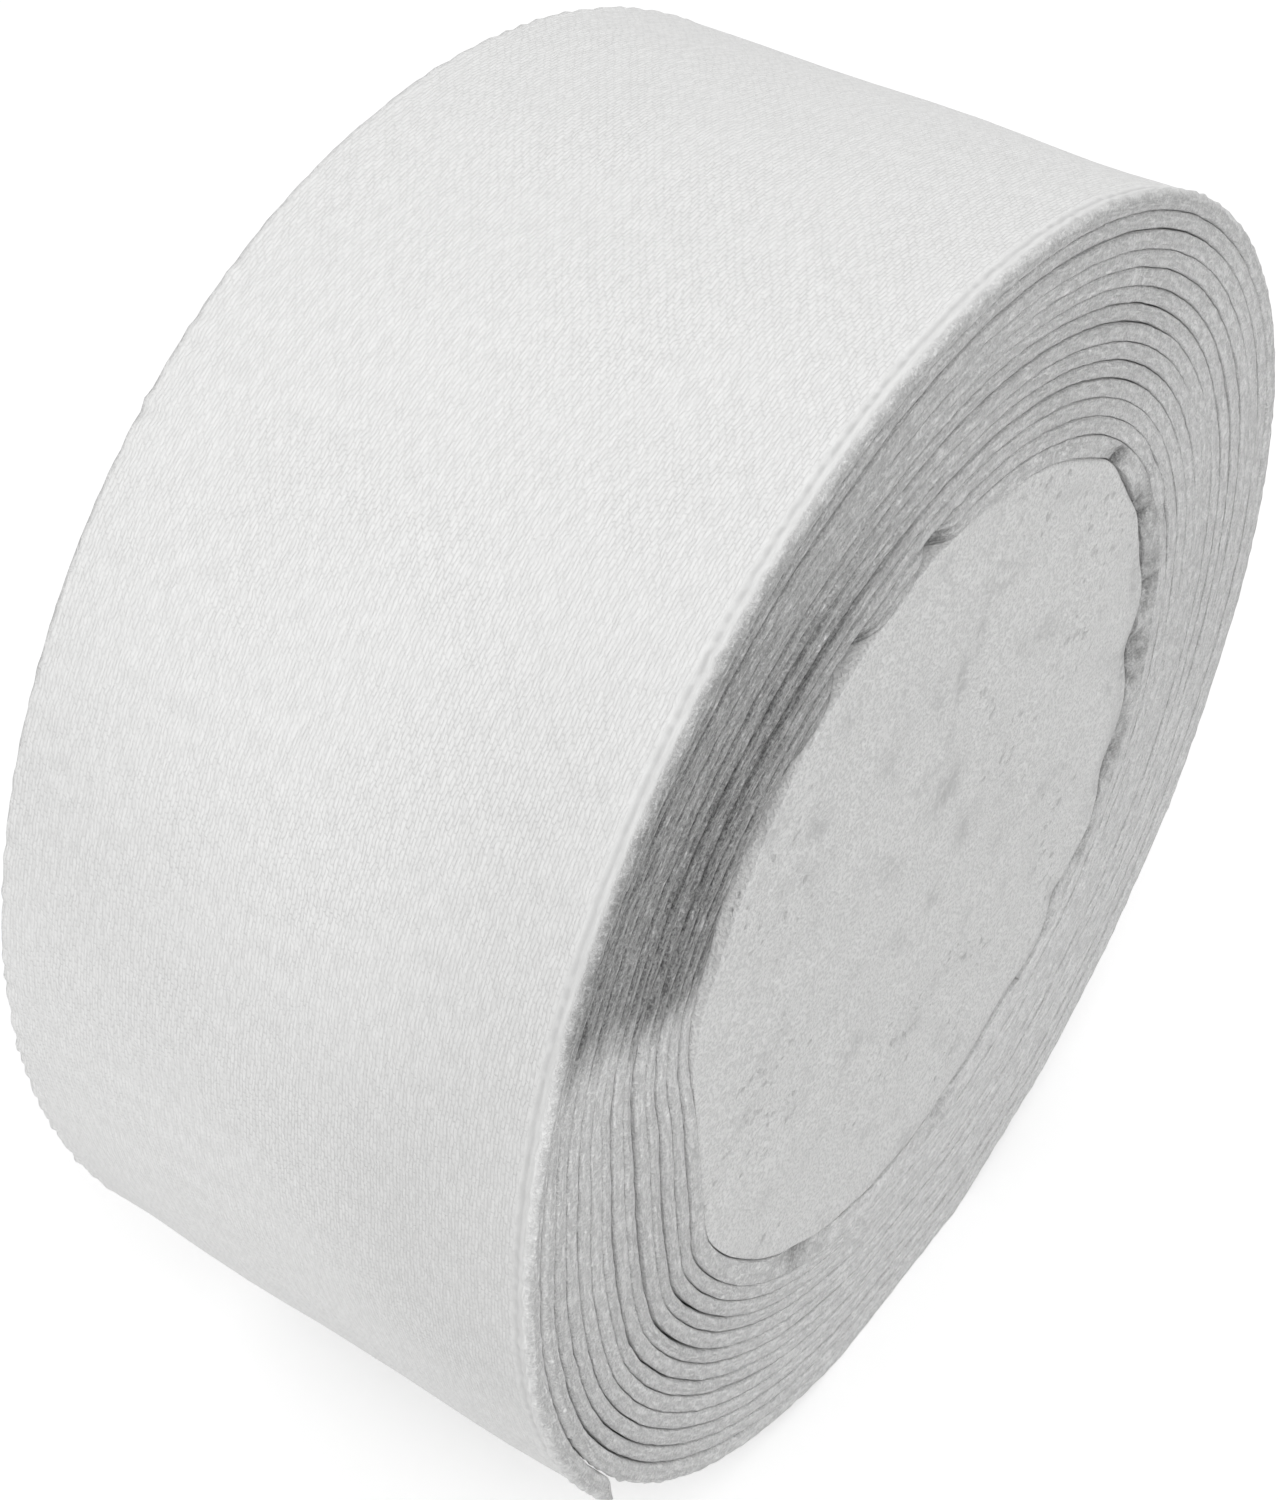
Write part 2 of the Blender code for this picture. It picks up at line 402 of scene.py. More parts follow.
@dataclass(frozen=True)
class Cloth:
    """How the soft tape fills the winding: its thickness, lie and edges, on whole arrays.

    Tables of bells hold a wound angle and a half width in degrees, and then a share or a depth.
    For the bead, the stitch groove and face_beside they hold an inset and a half width in metres
    instead. Shares of the turns count from the innermost one, and each turn starts at turn_from.
    """

    form: RollForm = field(default_factory=RollForm)
    thickness: float = 0.00118
    doubled: float = 0.00260
    doubled_run: float = 390.0
    doubled_end: float = 430.0
    fold_kept: float = 0.25
    closest: float = 0.000015
    open_gap: float = 0.000105
    plug_clearance: float = 0.00002
    tail_clearance: float = 0.00010
    uncovered_before: float = 15.0
    uncovered_after: float = 25.0

    ripple: float = 0.000018
    ripple_noises: tuple[Ripple, ...] = (Ripple(4.0, 11), Ripple(11.0, 12))
    pressed_reach: float = 1.2
    swell: Bells = ((4912.0, 22.0, 0.00032),)
    start_taper: float = 0.00062
    start_taper_run: float = 26.0

    open_angles: tuple[float, ...] = (0.0, 35.0, 60.0, 100.0, 150.0, 165.0, 235.0, 285.0, 360.0)
    open_shares: tuple[float, ...] = (0.05, 0.12, 0.50, 0.55, 0.75, 1.00, 0.85, 0.08, 0.05)
    left_shares: tuple[float, ...] = (
        0.0, 0.1, 0.4, 0.4, 0.95, 0.2, 1.0, 0.15, 0.9, 0.2, 0.3, 0.5, 0.65, 0.9, 0.6, 0.3
    )
    top_shares: tuple[float, ...] = (
        0.0, 0.3, 0.05, 0.05, 0.9, 0.9, 0.4, 1.0, 0.9, 0.1, 0.5, 0.1, 1.0, 0.1, 0.3, 0.3
    )
    turn_from: float = 158.0
    turn_change: float = 0.94
    left_starts: tuple[float, float] = (100.0, 150.0)
    left_ends: tuple[float, float] = (265.0, 300.0)
    patchiness: float = 0.15
    patch_noises: tuple[Ripple, ...] = (Ripple(30.0, 21), Ripple(7.0, 22))
    slack: Bells = (
        (757.0, 3.5, 1.2), (744.0, 3.0, 1.5), (735.0, 7.0, 0.7), (1104.0, 9.0, 0.5), (1933.0, 24.0, 0.9),
        (2653.0, 24.0, 0.9),
    )

    nick_depth: float = 0.0007
    nicks: Bells = (
        (494.0, 4.0, 1.0), (503.0, 5.0, 0.9), (411.0, 3.0, 0.9), (391.0, 6.0, 0.8), (373.0, 6.0, 0.8),
        (358.0, 6.0, 0.7), (341.0, 7.0, 0.6), (323.0, 5.0, 0.6), (310.0, 2.5, 0.6), (595.0, 6.0, 0.5),
        (634.0, 5.0, 0.3),
    )
    nick_roughness: float = 0.5
    nick_noise: Ripple = Ripple(6.0, 25)
    notch_depth: float = 0.0011
    notches: Bells = ((461.5, 2.6, 1.0), (477.8, 3.2, 1.0), (821.0, 2.0, 0.6), (837.5, 2.6, 0.7))

    creep_kept: float = 0.4
    edge_drift: float = 0.00005
    drift_length: float = 300.0
    edge_wander: float = 0.00003
    wander_length: float = 26.0
    near_seed: int = 31
    far_seed: int = 33
    recess: float = 0.00036
    recess_inside: float = 0.00024
    recess_spared: float = 0.75
    sunk_from: float = 108.0
    sunk_front: float = 158.0
    sunk_fade: float = 16.0
    sunk_wander: float = 1.2
    sunk_noise: Ripple = Ripple(260.0, 24)
    scallops: Bells = (
        (289.0, 6.0, 0.00010), (304.0, 4.0, 0.00005), (318.0, 7.0, 0.00005), (341.0, 9.0, 0.00008)
    )

    tight_edge: float = 0.00004
    loose_edge: float = 0.00026
    rim_edge: float = 0.00022
    bead: Bells = ((0.00032, 0.00017, 0.00009),)
    stitch_groove: Bells = ((0.00072, 0.00013, 0.00005),)
    far_relief: float = 0.1
    sag: float = 0.00011

    # Painted shadow on the edges' fibres in the sunk band at the left, and paler painted shade at a few other
    # angles.
    shade_from: float = 80.0
    shade_full: float = 150.0
    shade_front: float = 153.0
    shade_fade: float = 7.0
    shade_lag: float = 2.0
    shade_wander: float = 2.0
    shade_noise: Ripple = Ripple(230.0, 24)
    shade_spared: float = 0.3
    paler_painted_shades: Bells = ((72.0, 30.0, 0.28), (5.0, 40.0, 0.16), (205.0, 40.0, 0.20))
    # Painted shade on the outer face.
    face_shades: Bells = ((168.0, 36.0, 1.0),)
    face_least: float = 0.10
    face_beside: Bells = ((0.002, 0.007, 0.90),)
    face_band: Bells = ((184.0, 13.0, 0.40),)
    band_slant: float = 1000.0

    def outermost(self, wound: np.ndarray) -> np.ndarray:
        """1 on the layer that nothing covers, 0 on the turns inside, eased between them."""
        last = self.form.free_end - FULL_TURN
        return smooth_step(last - self.uncovered_before, last + self.uncovered_after, wound)

    def outer_radius(self, wound: np.ndarray) -> np.ndarray:
        """Radius of the cloth's outer face.

        Formula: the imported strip's outer face, less a taper over the tape's start, plus a fine
        ripple, which is calm where the roll is pressed flat and on its inner turns, and a swelling.

        Args:
            wound: Wound angles in degrees.

        Returns:
            The radius in metres.
        """
        wound, form = np.asarray(wound, float), self.form
        ripple = sum(noise.read(wound) for noise in self.ripple_noises)
        pressed = bump_round(form.down_angle, self.pressed_reach * form.flat_half_angle, wound)
        calm = (1.0 - pressed) * (0.5 + 0.5 * form.share(wound))
        tapered = 1.0 - smooth_step(form.start_angle, form.start_angle + self.start_taper_run, wound)
        radius = form.strip_radius(wound, self.fold_kept) + form.strip_thickness / 2.0
        return radius - self.start_taper * tapered + self.ripple * ripple * calm + bells(self.swell, wound)

    def under_radius(self, wound: np.ndarray) -> np.ndarray:
        """Radius of what lies under the cloth: the turn below, or the plug under the first turn.

        Args:
            wound: Wound angles in degrees.

        Returns:
            The radius in metres.
        """
        below = np.asarray(wound, float) - FULL_TURN
        first = below < self.form.start_angle
        plug = self.form.soft_plug_radius(wound) + self.plug_clearance
        turn = self.outer_radius(np.where(first, self.form.start_angle, below))
        return np.where(first, plug, turn)

    def openness(self, wound: np.ndarray) -> np.ndarray:
        """How far the turns stand apart: a share for the angle times one for the turn, plus slack.

        The turns lie open at the left and the lower left and tight at the right, and some gaps are
        wide all round while their neighbours are closed. The slack's few places add to that.

        Args:
            wound: Wound angles in degrees.

        Returns:
            0 where turns touch, 1 at the open gap, and more where there is slack.
        """
        wound = np.asarray(wound, float)
        angle, number = wound % FULL_TURN, (wound - self.turn_from) / FULL_TURN
        place = np.interp(angle, self.open_angles, self.open_shares)
        steps = np.floor(number) + smooth_step(self.turn_change, 1.0, number % 1.0)
        numbers = np.arange(len(self.left_shares))
        left, top = (np.interp(steps, numbers, shares) for shares in (self.left_shares, self.top_shares))
        at_left = smooth_step(*self.left_starts, angle) * (1.0 - smooth_step(*self.left_ends, angle))
        patchy = sum(noise.read(wound) for noise in self.patch_noises)
        patchy = 1.0 - self.patchiness + self.patchiness * patchy
        turn = top + (left - top) * at_left
        return np.clip(place * turn * patchy, 0.0, 1.0) + bells(self.slack, wound)

    def cloth_thickness(self, wound: np.ndarray, clearance: float = 0.0) -> np.ndarray:
        """The cloth's thickness: all the room down to what lies under it, less a small gap.

        Args:
            wound: Wound angles in degrees.
            clearance: Extra gap to keep underneath.

        Returns:
            The thickness in metres, at most that of the cloth, which lies double at its start.
        """
        room = self.outer_radius(wound) - self.under_radius(wound)
        gap = self.closest + self.open_gap * self.openness(wound) + clearance
        start = self.form.start_angle
        double = smooth_step(start + self.doubled_end, start + self.doubled_run, wound)
        return np.minimum(room - gap, self.thickness + (self.doubled - self.thickness) * double)

    def edge_depth(self, wound: np.ndarray) -> np.ndarray:
        """How far in from the cut the edge's corners are rounded: more where the turns lie open."""
        inside = self.tight_edge + (self.loose_edge - self.tight_edge) * self.openness(wound)
        return inside + (self.rim_edge - inside) * self.outermost(wound)

    def nick(self, wound: np.ndarray) -> np.ndarray:
        """How far the first turn's edge is crushed back beside the plug, 0 to 1."""
        uneven = 1.0 + self.nick_roughness * self.nick_noise.read(wound)
        return np.clip(bells(self.nicks, wound) * uneven, 0.0, 1.0)

    def notch(self, wound: np.ndarray) -> np.ndarray:
        """How far the first two turns' whole edges are pushed in at two places, 0 to 1."""
        return bells(self.notches, wound)

    def sunk(self, wound: np.ndarray) -> np.ndarray:
        """How far the edges are pushed in at the left: slowly deeper, then a sharp front.

        Args:
            wound: Wound angles in degrees.

        Returns:
            A share from 0 to 1.
        """
        angle = np.asarray(wound, float) % FULL_TURN
        past = angle - self.sunk_front - self.sunk_wander * self.sunk_noise.read(wound)
        before_front = 1.0 - smooth_step(0.0, self.sunk_fade, past)
        return smooth_step(self.sunk_from, self.sunk_front, angle) * before_front

    def drift(self, wound: np.ndarray, seed: int) -> np.ndarray:
        """How an edge strays along Y: a slow drift and a finer wander, from two seeded noises.

        Args:
            wound: Wound angles in degrees.
            seed: The slow noise's seed; the fine one's is the next.

        Returns:
            Metres along Y.
        """
        slow, fine = Ripple(self.drift_length, seed), Ripple(self.wander_length, seed + 1)
        return self.edge_drift * slow.read(wound) + self.edge_wander * fine.read(wound)

    def near_edge(self, wound: np.ndarray) -> np.ndarray:
        """Y of the tape's near edge: crept with the turn, drifting a little and drawn in at the left.

        Args:
            wound: Wound angles in degrees.

        Returns:
            Y in metres.
        """
        outermost = self.outermost(wound)
        inside = 1.0 - np.clip(self.form.share(wound), 0.0, 1.0)
        sunk = (self.recess + self.recess_inside * inside) * self.sunk(wound)
        base = -self.form.tape_width / 2.0 + self.form.edge_shift(wound) * self.creep_kept
        base = base + self.drift(wound, self.near_seed) * (1.0 - outermost)
        scallops = bells(self.scallops, wound, every_turn=True)
        return base + sunk * (1.0 - self.recess_spared * outermost) + scallops * outermost

    def far_edge(self, wound: np.ndarray) -> np.ndarray:
        """Y of the tape's far edge: crept with the turn and drifting a little."""
        base = self.form.tape_width / 2.0 + self.form.edge_shift(wound) * self.creep_kept
        return base + self.drift(wound, self.far_seed) * (1.0 - self.outermost(wound))

    def painted_shade(self, wound: np.ndarray) -> np.ndarray:
        """Painted shadow on the edge's fibres, where the turns lie sunk and open at the left, up to the
        front, and paler painted shade at a few other angles.

        Args:
            wound: Wound angles in degrees.

        Returns:
            A share from 0 to 1.
        """
        angle = np.asarray(wound, float) % FULL_TURN
        front = self.shade_front + self.shade_lag * (1.0 - self.form.share(wound))
        front = front + self.shade_wander * self.shade_noise.read(wound)
        shade = smooth_step(self.shade_from, self.shade_full, angle)
        shade = shade * (1.0 - smooth_step(0.0, self.shade_fade, angle - front))
        lighter = bells(self.paler_painted_shades, wound, every_turn=True) * (1.0 - shade)
        return np.clip(shade * (1.0 - self.shade_spared * self.outermost(wound)) + lighter, 0.0, 1.0)

    def face_shade(self, wound: np.ndarray, inset: np.ndarray) -> np.ndarray:
        """Painted shade on the outer face: at the left, most beside the near edge, and in one slanting band.

        Args:
            wound: Wound angles in degrees.
            inset: Distance from the near edge in metres.

        Returns:
            A share from 0 to 1.
        """
        beside = bells(self.face_shades, wound, every_turn=True)
        beside = beside * (self.face_least + bells(self.face_beside, inset))
        band = bells(self.face_band, wound + self.band_slant * inset, every_turn=True)
        return np.clip(beside + band, 0.0, 1.0)

    def relief(self, inset: np.ndarray, side: np.ndarray) -> np.ndarray:
        """Height of the selvedge over the face: a bead and a stitch groove, less at the far side."""
        height = bells(self.bead, inset) - bells(self.stitch_groove, inset)
        return height * np.where(side < 0.0, 1.0, self.far_relief)


@dataclass(frozen=True)
class Section:
    """Columns of points round the tape's cross-section, from mid inner face round to it again.

    Each column has an arc and a rise. The arc is the angle round a corner: 90 on the outer face, -90
    on the inner one and 0 on the blunt cut edge between them. The rise is 0 at the inner corner and
    1 at the outer one. Round an edge the pattern's coordinate starts at the half width less the
    corner and grows by the quarter over each corner and by the blunt over the cut edge.
    """

    outer_places: tuple[float, ...]
    inner_places: tuple[float, ...]
    corner_angles: tuple[float, ...]
    blunt_rises: tuple[float, ...]
    half_width: float
    corner: float = 0.00015
    quarter: float = 0.00020
    blunt: float = 0.00050

    def columns(self) -> Columns:
        """The columns as arrays.

        Returns:
            zone: the Zone of each column; side: -1 towards the near edge and 1 towards the far
            one; arc and rise: as above; place: distance in from the edge, on the faces; across:
            the pattern's coordinate.
        """
        corners, rises = np.array(self.corner_angles, float), np.array(self.blunt_rises, float)
        outs, ins = np.array(self.outer_places, float), np.array(self.inner_places, float)
        arcs = np.concatenate([-corners[::-1], 0.0 * rises, corners])
        rise = np.concatenate([0.0 * corners, rises, 0.0 * corners + 1.0])
        middle = np.array([self.half_width])
        runs = [
            (Zone.INNER_NEAR, -1.0, np.full(len(ins) + 1, -90.0), 0.0, np.concatenate([middle, ins[::-1]])),
            (Zone.NEAR_EDGE, -1.0, arcs, rise, np.zeros(len(arcs))),
            (Zone.OUTER, -1.0, np.full(len(outs) + 1, 90.0), 1.0, np.concatenate([outs, middle])),
            (Zone.OUTER, 1.0, np.full(len(outs), 90.0), 1.0, outs[::-1]),
            (Zone.FAR_EDGE, 1.0, arcs[::-1], rise[::-1], np.zeros(len(arcs))),
            (Zone.INNER_FAR, 1.0, np.full(len(ins), -90.0), 0.0, ins),
        ]
        zone = np.concatenate([np.full(len(arc), kind.value) for kind, _, arc, _, _ in runs])
        side = np.concatenate([np.full(len(arc), toward) for _, toward, arc, _, _ in runs])
        arc = np.concatenate([run[2] for run in runs])
        rise = np.concatenate([np.broadcast_to(run[3], len(run[2])) for run in runs])
        place = np.concatenate([run[4] for run in runs])
        round_corner = self.half_width - self.corner + self.quarter * (90.0 - arc) / 90.0
        round_corner = round_corner + self.blunt * (1.0 - rise)
        on_edge = (zone == Zone.NEAR_EDGE.value) | (zone == Zone.FAR_EDGE.value)
        across = np.where(on_edge, round_corner, self.half_width - place)
        return {"zone": zone, "side": side, "arc": arc, "rise": rise, "place": place, "across": side * across}


def ring_quads(index: np.ndarray) -> list[list[int]]:
    """Quads between the neighbouring closed rings of a grid of point numbers."""
    after = np.roll(index, -1, axis=1)
    return np.stack([index[:-1], after[:-1], after[1:], index[1:]], axis=-1).reshape(-1, 4).tolist()


def grid_mesh(name: str, points: np.ndarray, pattern: np.ndarray, painted_shade: np.ndarray) -> bpy.types.Mesh:
    """A closed tube from a grid of points, with its ends capped and a UV map in metres.

    Args:
        name: Name of the mesh.
        points: Rows by columns by 3; each row is a closed ring, wound alike.
        pattern: Rows by columns + 1 by 2, the UV of each point, with the first column repeated.
        painted_shade: Rows by columns, the painted shade at each point, kept as the attribute "worn".

    Returns:
        The mesh, smooth-shaded, with its faces pointing outwards.
    """
    rows, columns = points.shape[:2]
    index = np.arange(rows * columns).reshape(rows, columns)
    mesh = bpy.data.meshes.new(name)
    faces = ring_quads(index) + [index[0][::-1].tolist(), index[-1].tolist()]
    mesh.from_pydata(points.reshape(-1, 3), [], faces)
    cells = np.arange(rows * (columns + 1)).reshape(rows, columns + 1)
    corners = np.stack([cells[:-1, :-1], cells[:-1, 1:], cells[1:, 1:], cells[1:, :-1]], axis=-1)
    order = np.concatenate([corners.ravel(), cells[0, :-1][::-1], cells[-1, :-1]])
    layer = mesh.uv_layers.new(name="tape")
    layer.data.foreach_set("uv", pattern.reshape(-1, 2)[order].astype(np.float32).ravel())
    keep_shares(mesh, "painted_shade", painted_shade)
    mesh.validate()
    mesh.update()
    return outward_facing(mesh)


def keep_shares(mesh: bpy.types.Mesh, name: str, shares: np.ndarray) -> None:
    """Keeps one share a point on the mesh, for its finish to read."""
    layer = mesh.attributes.new(name, "FLOAT", "POINT")
    layer.data.foreach_set("value", shares.astype(np.float32).ravel())


def outward_facing(mesh: bpy.types.Mesh) -> bpy.types.Mesh:
    """Turns a closed mesh right side out, by the sign of its volume, and shades it smooth.

    Volume: a sixth of the sum over the triangles of a . (b x c).

    Args:
        mesh: The mesh to turn and shade.

    Returns:
        The same mesh.
    """
    mesh.calc_loop_triangles()
    corners = np.empty(len(mesh.loop_triangles) * 3, np.int32)
    mesh.loop_triangles.foreach_get("vertices", corners)
    places = np.empty(len(mesh.vertices) * 3, np.float32)
    mesh.vertices.foreach_get("co", places)
    a, b, c = np.moveaxis(places.reshape(-1, 3)[corners.reshape(-1, 3)].astype(float), 1, 0)
    if float(np.sum(a * np.cross(b, c))) < 0.0:
        mesh.flip_normals()
    mesh.shade_smooth()
    mesh.set_sharp_from_angle(angle=math.radians(SHARP_ANGLE))
    return mesh


def put_in_scene(name: str, mesh: bpy.types.Mesh, material: bpy.types.Material) -> bpy.types.Object:
    """An object at the origin that carries a mesh and its finish.

    Args:
        name: Its name.
        mesh: Its mesh.
        material: Its finish.

    Returns:
        The object.
    """
    mesh.materials.append(material)
    made = bpy.data.objects.new(name, mesh)
    bpy.context.scene.collection.objects.link(made)
    return made


@dataclass
class TapeRun:
    """One unbroken run of the tape between two wound angles.

    Widths and insets are metres in from the edge. The spreads are bells of angle by which the face
    stands out towards its far side.
    """

    name: str
    start: float
    end: float
    step: float
    section: Section
    cloth: Cloth
    clearance: float = 0.0
    selvedge_from: float = 0.0
    selvedge_to: float = 1.0
    cut_end: bool = False

    fray: float = 0.00003
    fray_across: float = 0.0008
    fray_noise: Ripple = Ripple(0.0011, 42)
    crush_width: float = 0.0006
    notch_width: float = 0.0008
    sag_from: float = 0.0008
    sag_full: float = 0.004
    sag_noise: Ripple = Ripple(0.011, 41)
    spreads: Bells = ((177.0, 20.0, 0.00030), (224.0, 18.0, -0.00042))
    spread_from: float = -0.006
    jag: float = 0.00008
    jag_width: float = 0.0009
    jag_noise: Ripple = Ripple(0.0013, 43)
    corner_share: float = 0.45
    cut_run: float = 3.5
    cut_slant: float = 2.4
    cut_back: float = 0.3
    cut_raggedness: float = 0.25
    cut_noise: Ripple = Ripple(0.0035, 51)
    least_height: float = 0.00001

    # Painted shadow on the edge: more towards its outer side, beside an open gap, at the nicks and the
    # notches, and less on the far side.
    shade_inside: float = 0.62
    shade_outwards: float = 0.25
    shade_at_gap: float = 0.5
    shade_at_nick: float = 1.2
    nick_fade: float = 0.7
    shade_at_notch: float = 1.5
    far_share: float = 0.3
    face_from: float = 0.0003

    def angles(self) -> np.ndarray:
        """Wound angles of the rows, evenly spaced from end to end."""
        count = max(2, int(round((self.end - self.start) / self.step)) + 1)
        return np.linspace(self.start, self.end, count)

    def length(self) -> float:
        """The run's real length: the sum of its steps at mid-thickness.

        Returns:
            The length in metres.
        """
        wound = self.angles()
        radius = self.cloth.form.strip_radius(wound)
        line = radius[:, None] * np.stack([np.cos(np.radians(wound)), np.sin(np.radians(wound))], axis=1)
        return float(np.sum(np.linalg.norm(np.diff(line, axis=0), axis=1)))

    def along(self, wound: np.ndarray) -> np.ndarray:
        """The pattern's coordinate along the tape, the same for every run.

        Formula: the angle since the start * (first radius + half a pitch for each turn since).

        Args:
            wound: Wound angles in degrees.

        Returns:
            The coordinate in metres.
        """
        form = self.cloth.form
        turned = np.radians(wound - form.start_angle)
        return turned * (form.first_radius() + 0.5 * form.pitch * turned / (2.0 * math.pi))

    def across_places(self, wound: np.ndarray, inset: np.ndarray, column: Columns) -> np.ndarray:
        """Y of every point: its edge -/+ its inset, frayed, and crushed and notched at the near edge.

        Args:
            wound: Wound angle of each row.
            inset: Rows by columns, how far in each point lies.
            column: The section's columns.

        Returns:
            Rows by columns.
        """
        cloth, along = self.cloth, self.along(wound)[:, None]
        side, place, rise = (column[key][None, :] for key in ("side", "place", "rise"))
        frayed = np.where(place > 0.0, 0.0, self.fray * cosine(column["arc"])[None, :])
        frayed = frayed * self.fray_noise.read(along, rise * self.fray_across)
        crushed = cloth.nick_depth * cloth.nick(wound)[:, None] * (1.0 - rise)
        crushed = crushed * bump_at(0.0, self.crush_width, place)
        notched = cloth.notch_depth * cloth.notch(wound)[:, None] * bump_at(0.0, self.notch_width, place)
        near, far = cloth.near_edge(wound)[:, None], cloth.far_edge(wound)[:, None]
        y = np.where(side < 0.0, near + inset + frayed + crushed + notched, far - inset - frayed)
        return np.where(place >= cloth.form.tape_width / 2.0, (near + far) / 2.0, y)

    def face_height(
        self, wound: np.ndarray, y: np.ndarray, inset: np.ndarray, side: np.ndarray
    ) -> np.ndarray:
        """How far the outer face stands out from its plain radius.

        Formula: the selvedge's relief + the waves of the sag, calm at the edges and underneath,
        + the far side's spread + fine jags at the edges, all faded in where the selvedge starts.

        Args:
            wound: Wound angle of each row.
            y: Rows by columns, each point's Y.
            inset: Rows by columns, how far in each point lies.
            side: Which edge each column lies towards.

        Returns:
            Rows by columns, in metres.
        """
        cloth, form, along = self.cloth, self.cloth.form, self.along(wound)[:, None]
        pressed = bump_round(form.down_angle, form.flat_half_angle, wound)[:, None]
        sag = cloth.sag * smooth_step(self.sag_from, self.sag_full, inset) * (1.0 - pressed)
        sag = sag * self.sag_noise.read(along, y)
        spread = bells(self.spreads, wound, every_turn=True)[:, None]
        spread = spread * smooth_step(self.spread_from, form.tape_width / 2.0, y)
        jags = self.jag * self.jag_noise.read(along) * bump_at(0.0, self.jag_width, inset)
        risen = smooth_step(self.selvedge_from, self.selvedge_to, wound)[:, None]
        return (cloth.relief(inset, side) + sag + spread + jags) * risen

    def points(self, wound: np.ndarray) -> np.ndarray:
        """The grid of points.

        Radius: inner face + rise * thickness, less the corner's share of its rounding, which is
        the rounding * (1 - sin(arc)) at the outer corner and the same inwards at the inner one.
        Round a corner, the inset is the edge's depth * (1 - cos(arc)).

        Args:
            wound: Wound angle of each row.

        Returns:
            Rows by columns by 3.
        """
        column = self.section.columns()
        side, place, rise = (column[key][None, :] for key in ("side", "place", "rise"))
        arc = np.radians(column["arc"])[None, :]
        edge = self.cloth.edge_depth(wound)[:, None]
        thick = self.cloth.cloth_thickness(wound, self.clearance)[:, None]
        inset = np.where(place > 0.0, np.maximum(place, edge), edge * (1.0 - np.cos(arc)))
        y = self.across_places(wound, inset, column)
        corner = np.minimum(edge, self.corner_share * thick)
        rounding = rise * corner * (1.0 - np.sin(arc)) - (1.0 - rise) * corner * (1.0 + np.sin(arc))
        face = self.face_height(wound, y, inset, side) * rise * np.maximum(np.sin(arc), 0.0)
        radius = self.cloth.outer_radius(wound)[:, None] - (1.0 - rise) * thick - rounding + face
        turned = np.radians(wound)[:, None]
        if self.cut_end:
            last = smooth_step(self.end - self.cut_run, self.end, wound)[:, None]
            ragged = 1.0 + self.cut_raggedness * self.cut_noise.read(y)
            turned = turned - last * np.radians(self.cut_slant * (1.0 - rise) + self.cut_back * ragged)
        x = radius * np.cos(turned)
        z = np.maximum(self.cloth.form.axis_height + radius * np.sin(turned), self.least_height)
        return np.stack(np.broadcast_arrays(x, y, z), axis=-1)

    def painted_shade_shares(self, wound: np.ndarray, column: Columns) -> np.ndarray:
        """How much painted shade lies at every point: painted shadow on the edge, or painted shade on the
        outer face.

        The edge's painted shadow is darker towards its outer side, beside an open gap and where it is
        crushed.

        Args:
            wound: Wound angle of each row.
            column: The section's columns.

        Returns:
            Rows by columns, from 0 to 1.
        """
        cloth = self.cloth
        side, place, rise, across = (column[key][None, :] for key in ("side", "place", "rise", "across"))
        gap = cloth.openness(wound + FULL_TURN)[:, None]
        edge = self.shade_inside + self.shade_outwards * rise + self.shade_at_gap * gap * rise
        edge = edge * cloth.painted_shade(wound)[:, None]
        edge = edge + self.shade_at_nick * cloth.nick(wound)[:, None] * (1.0 - self.nick_fade * rise)
        edge = edge + self.shade_at_notch * cloth.notch(wound)[:, None]
        edge = np.clip(edge * np.where(side < 0.0, 1.0, self.far_share), 0.0, 1.0)
        face = cloth.face_shade(wound[:, None], self.section.half_width + across)
        on_face = (column["zone"] == Zone.OUTER.value)[None, :] & (place > self.face_from)
        return np.where(on_face, face, edge)

    def build(self, material: bpy.types.Material) -> bpy.types.Object:
        """Makes the run's mesh and dresses it.

        Args:
            material: The cloth's finish.

        Returns:
            The object, at the origin.
        """
        wound, column = self.angles(), self.section.columns()
        across = np.concatenate([column["across"], [-column["across"][0]]])
        pattern = np.stack(np.broadcast_arrays(self.along(wound)[:, None], across[None, :]), axis=-1)
        mesh = grid_mesh(self.name, self.points(wound), pattern, self.painted_shade_shares(wound, column))
        return put_in_scene(self.name, mesh, material)


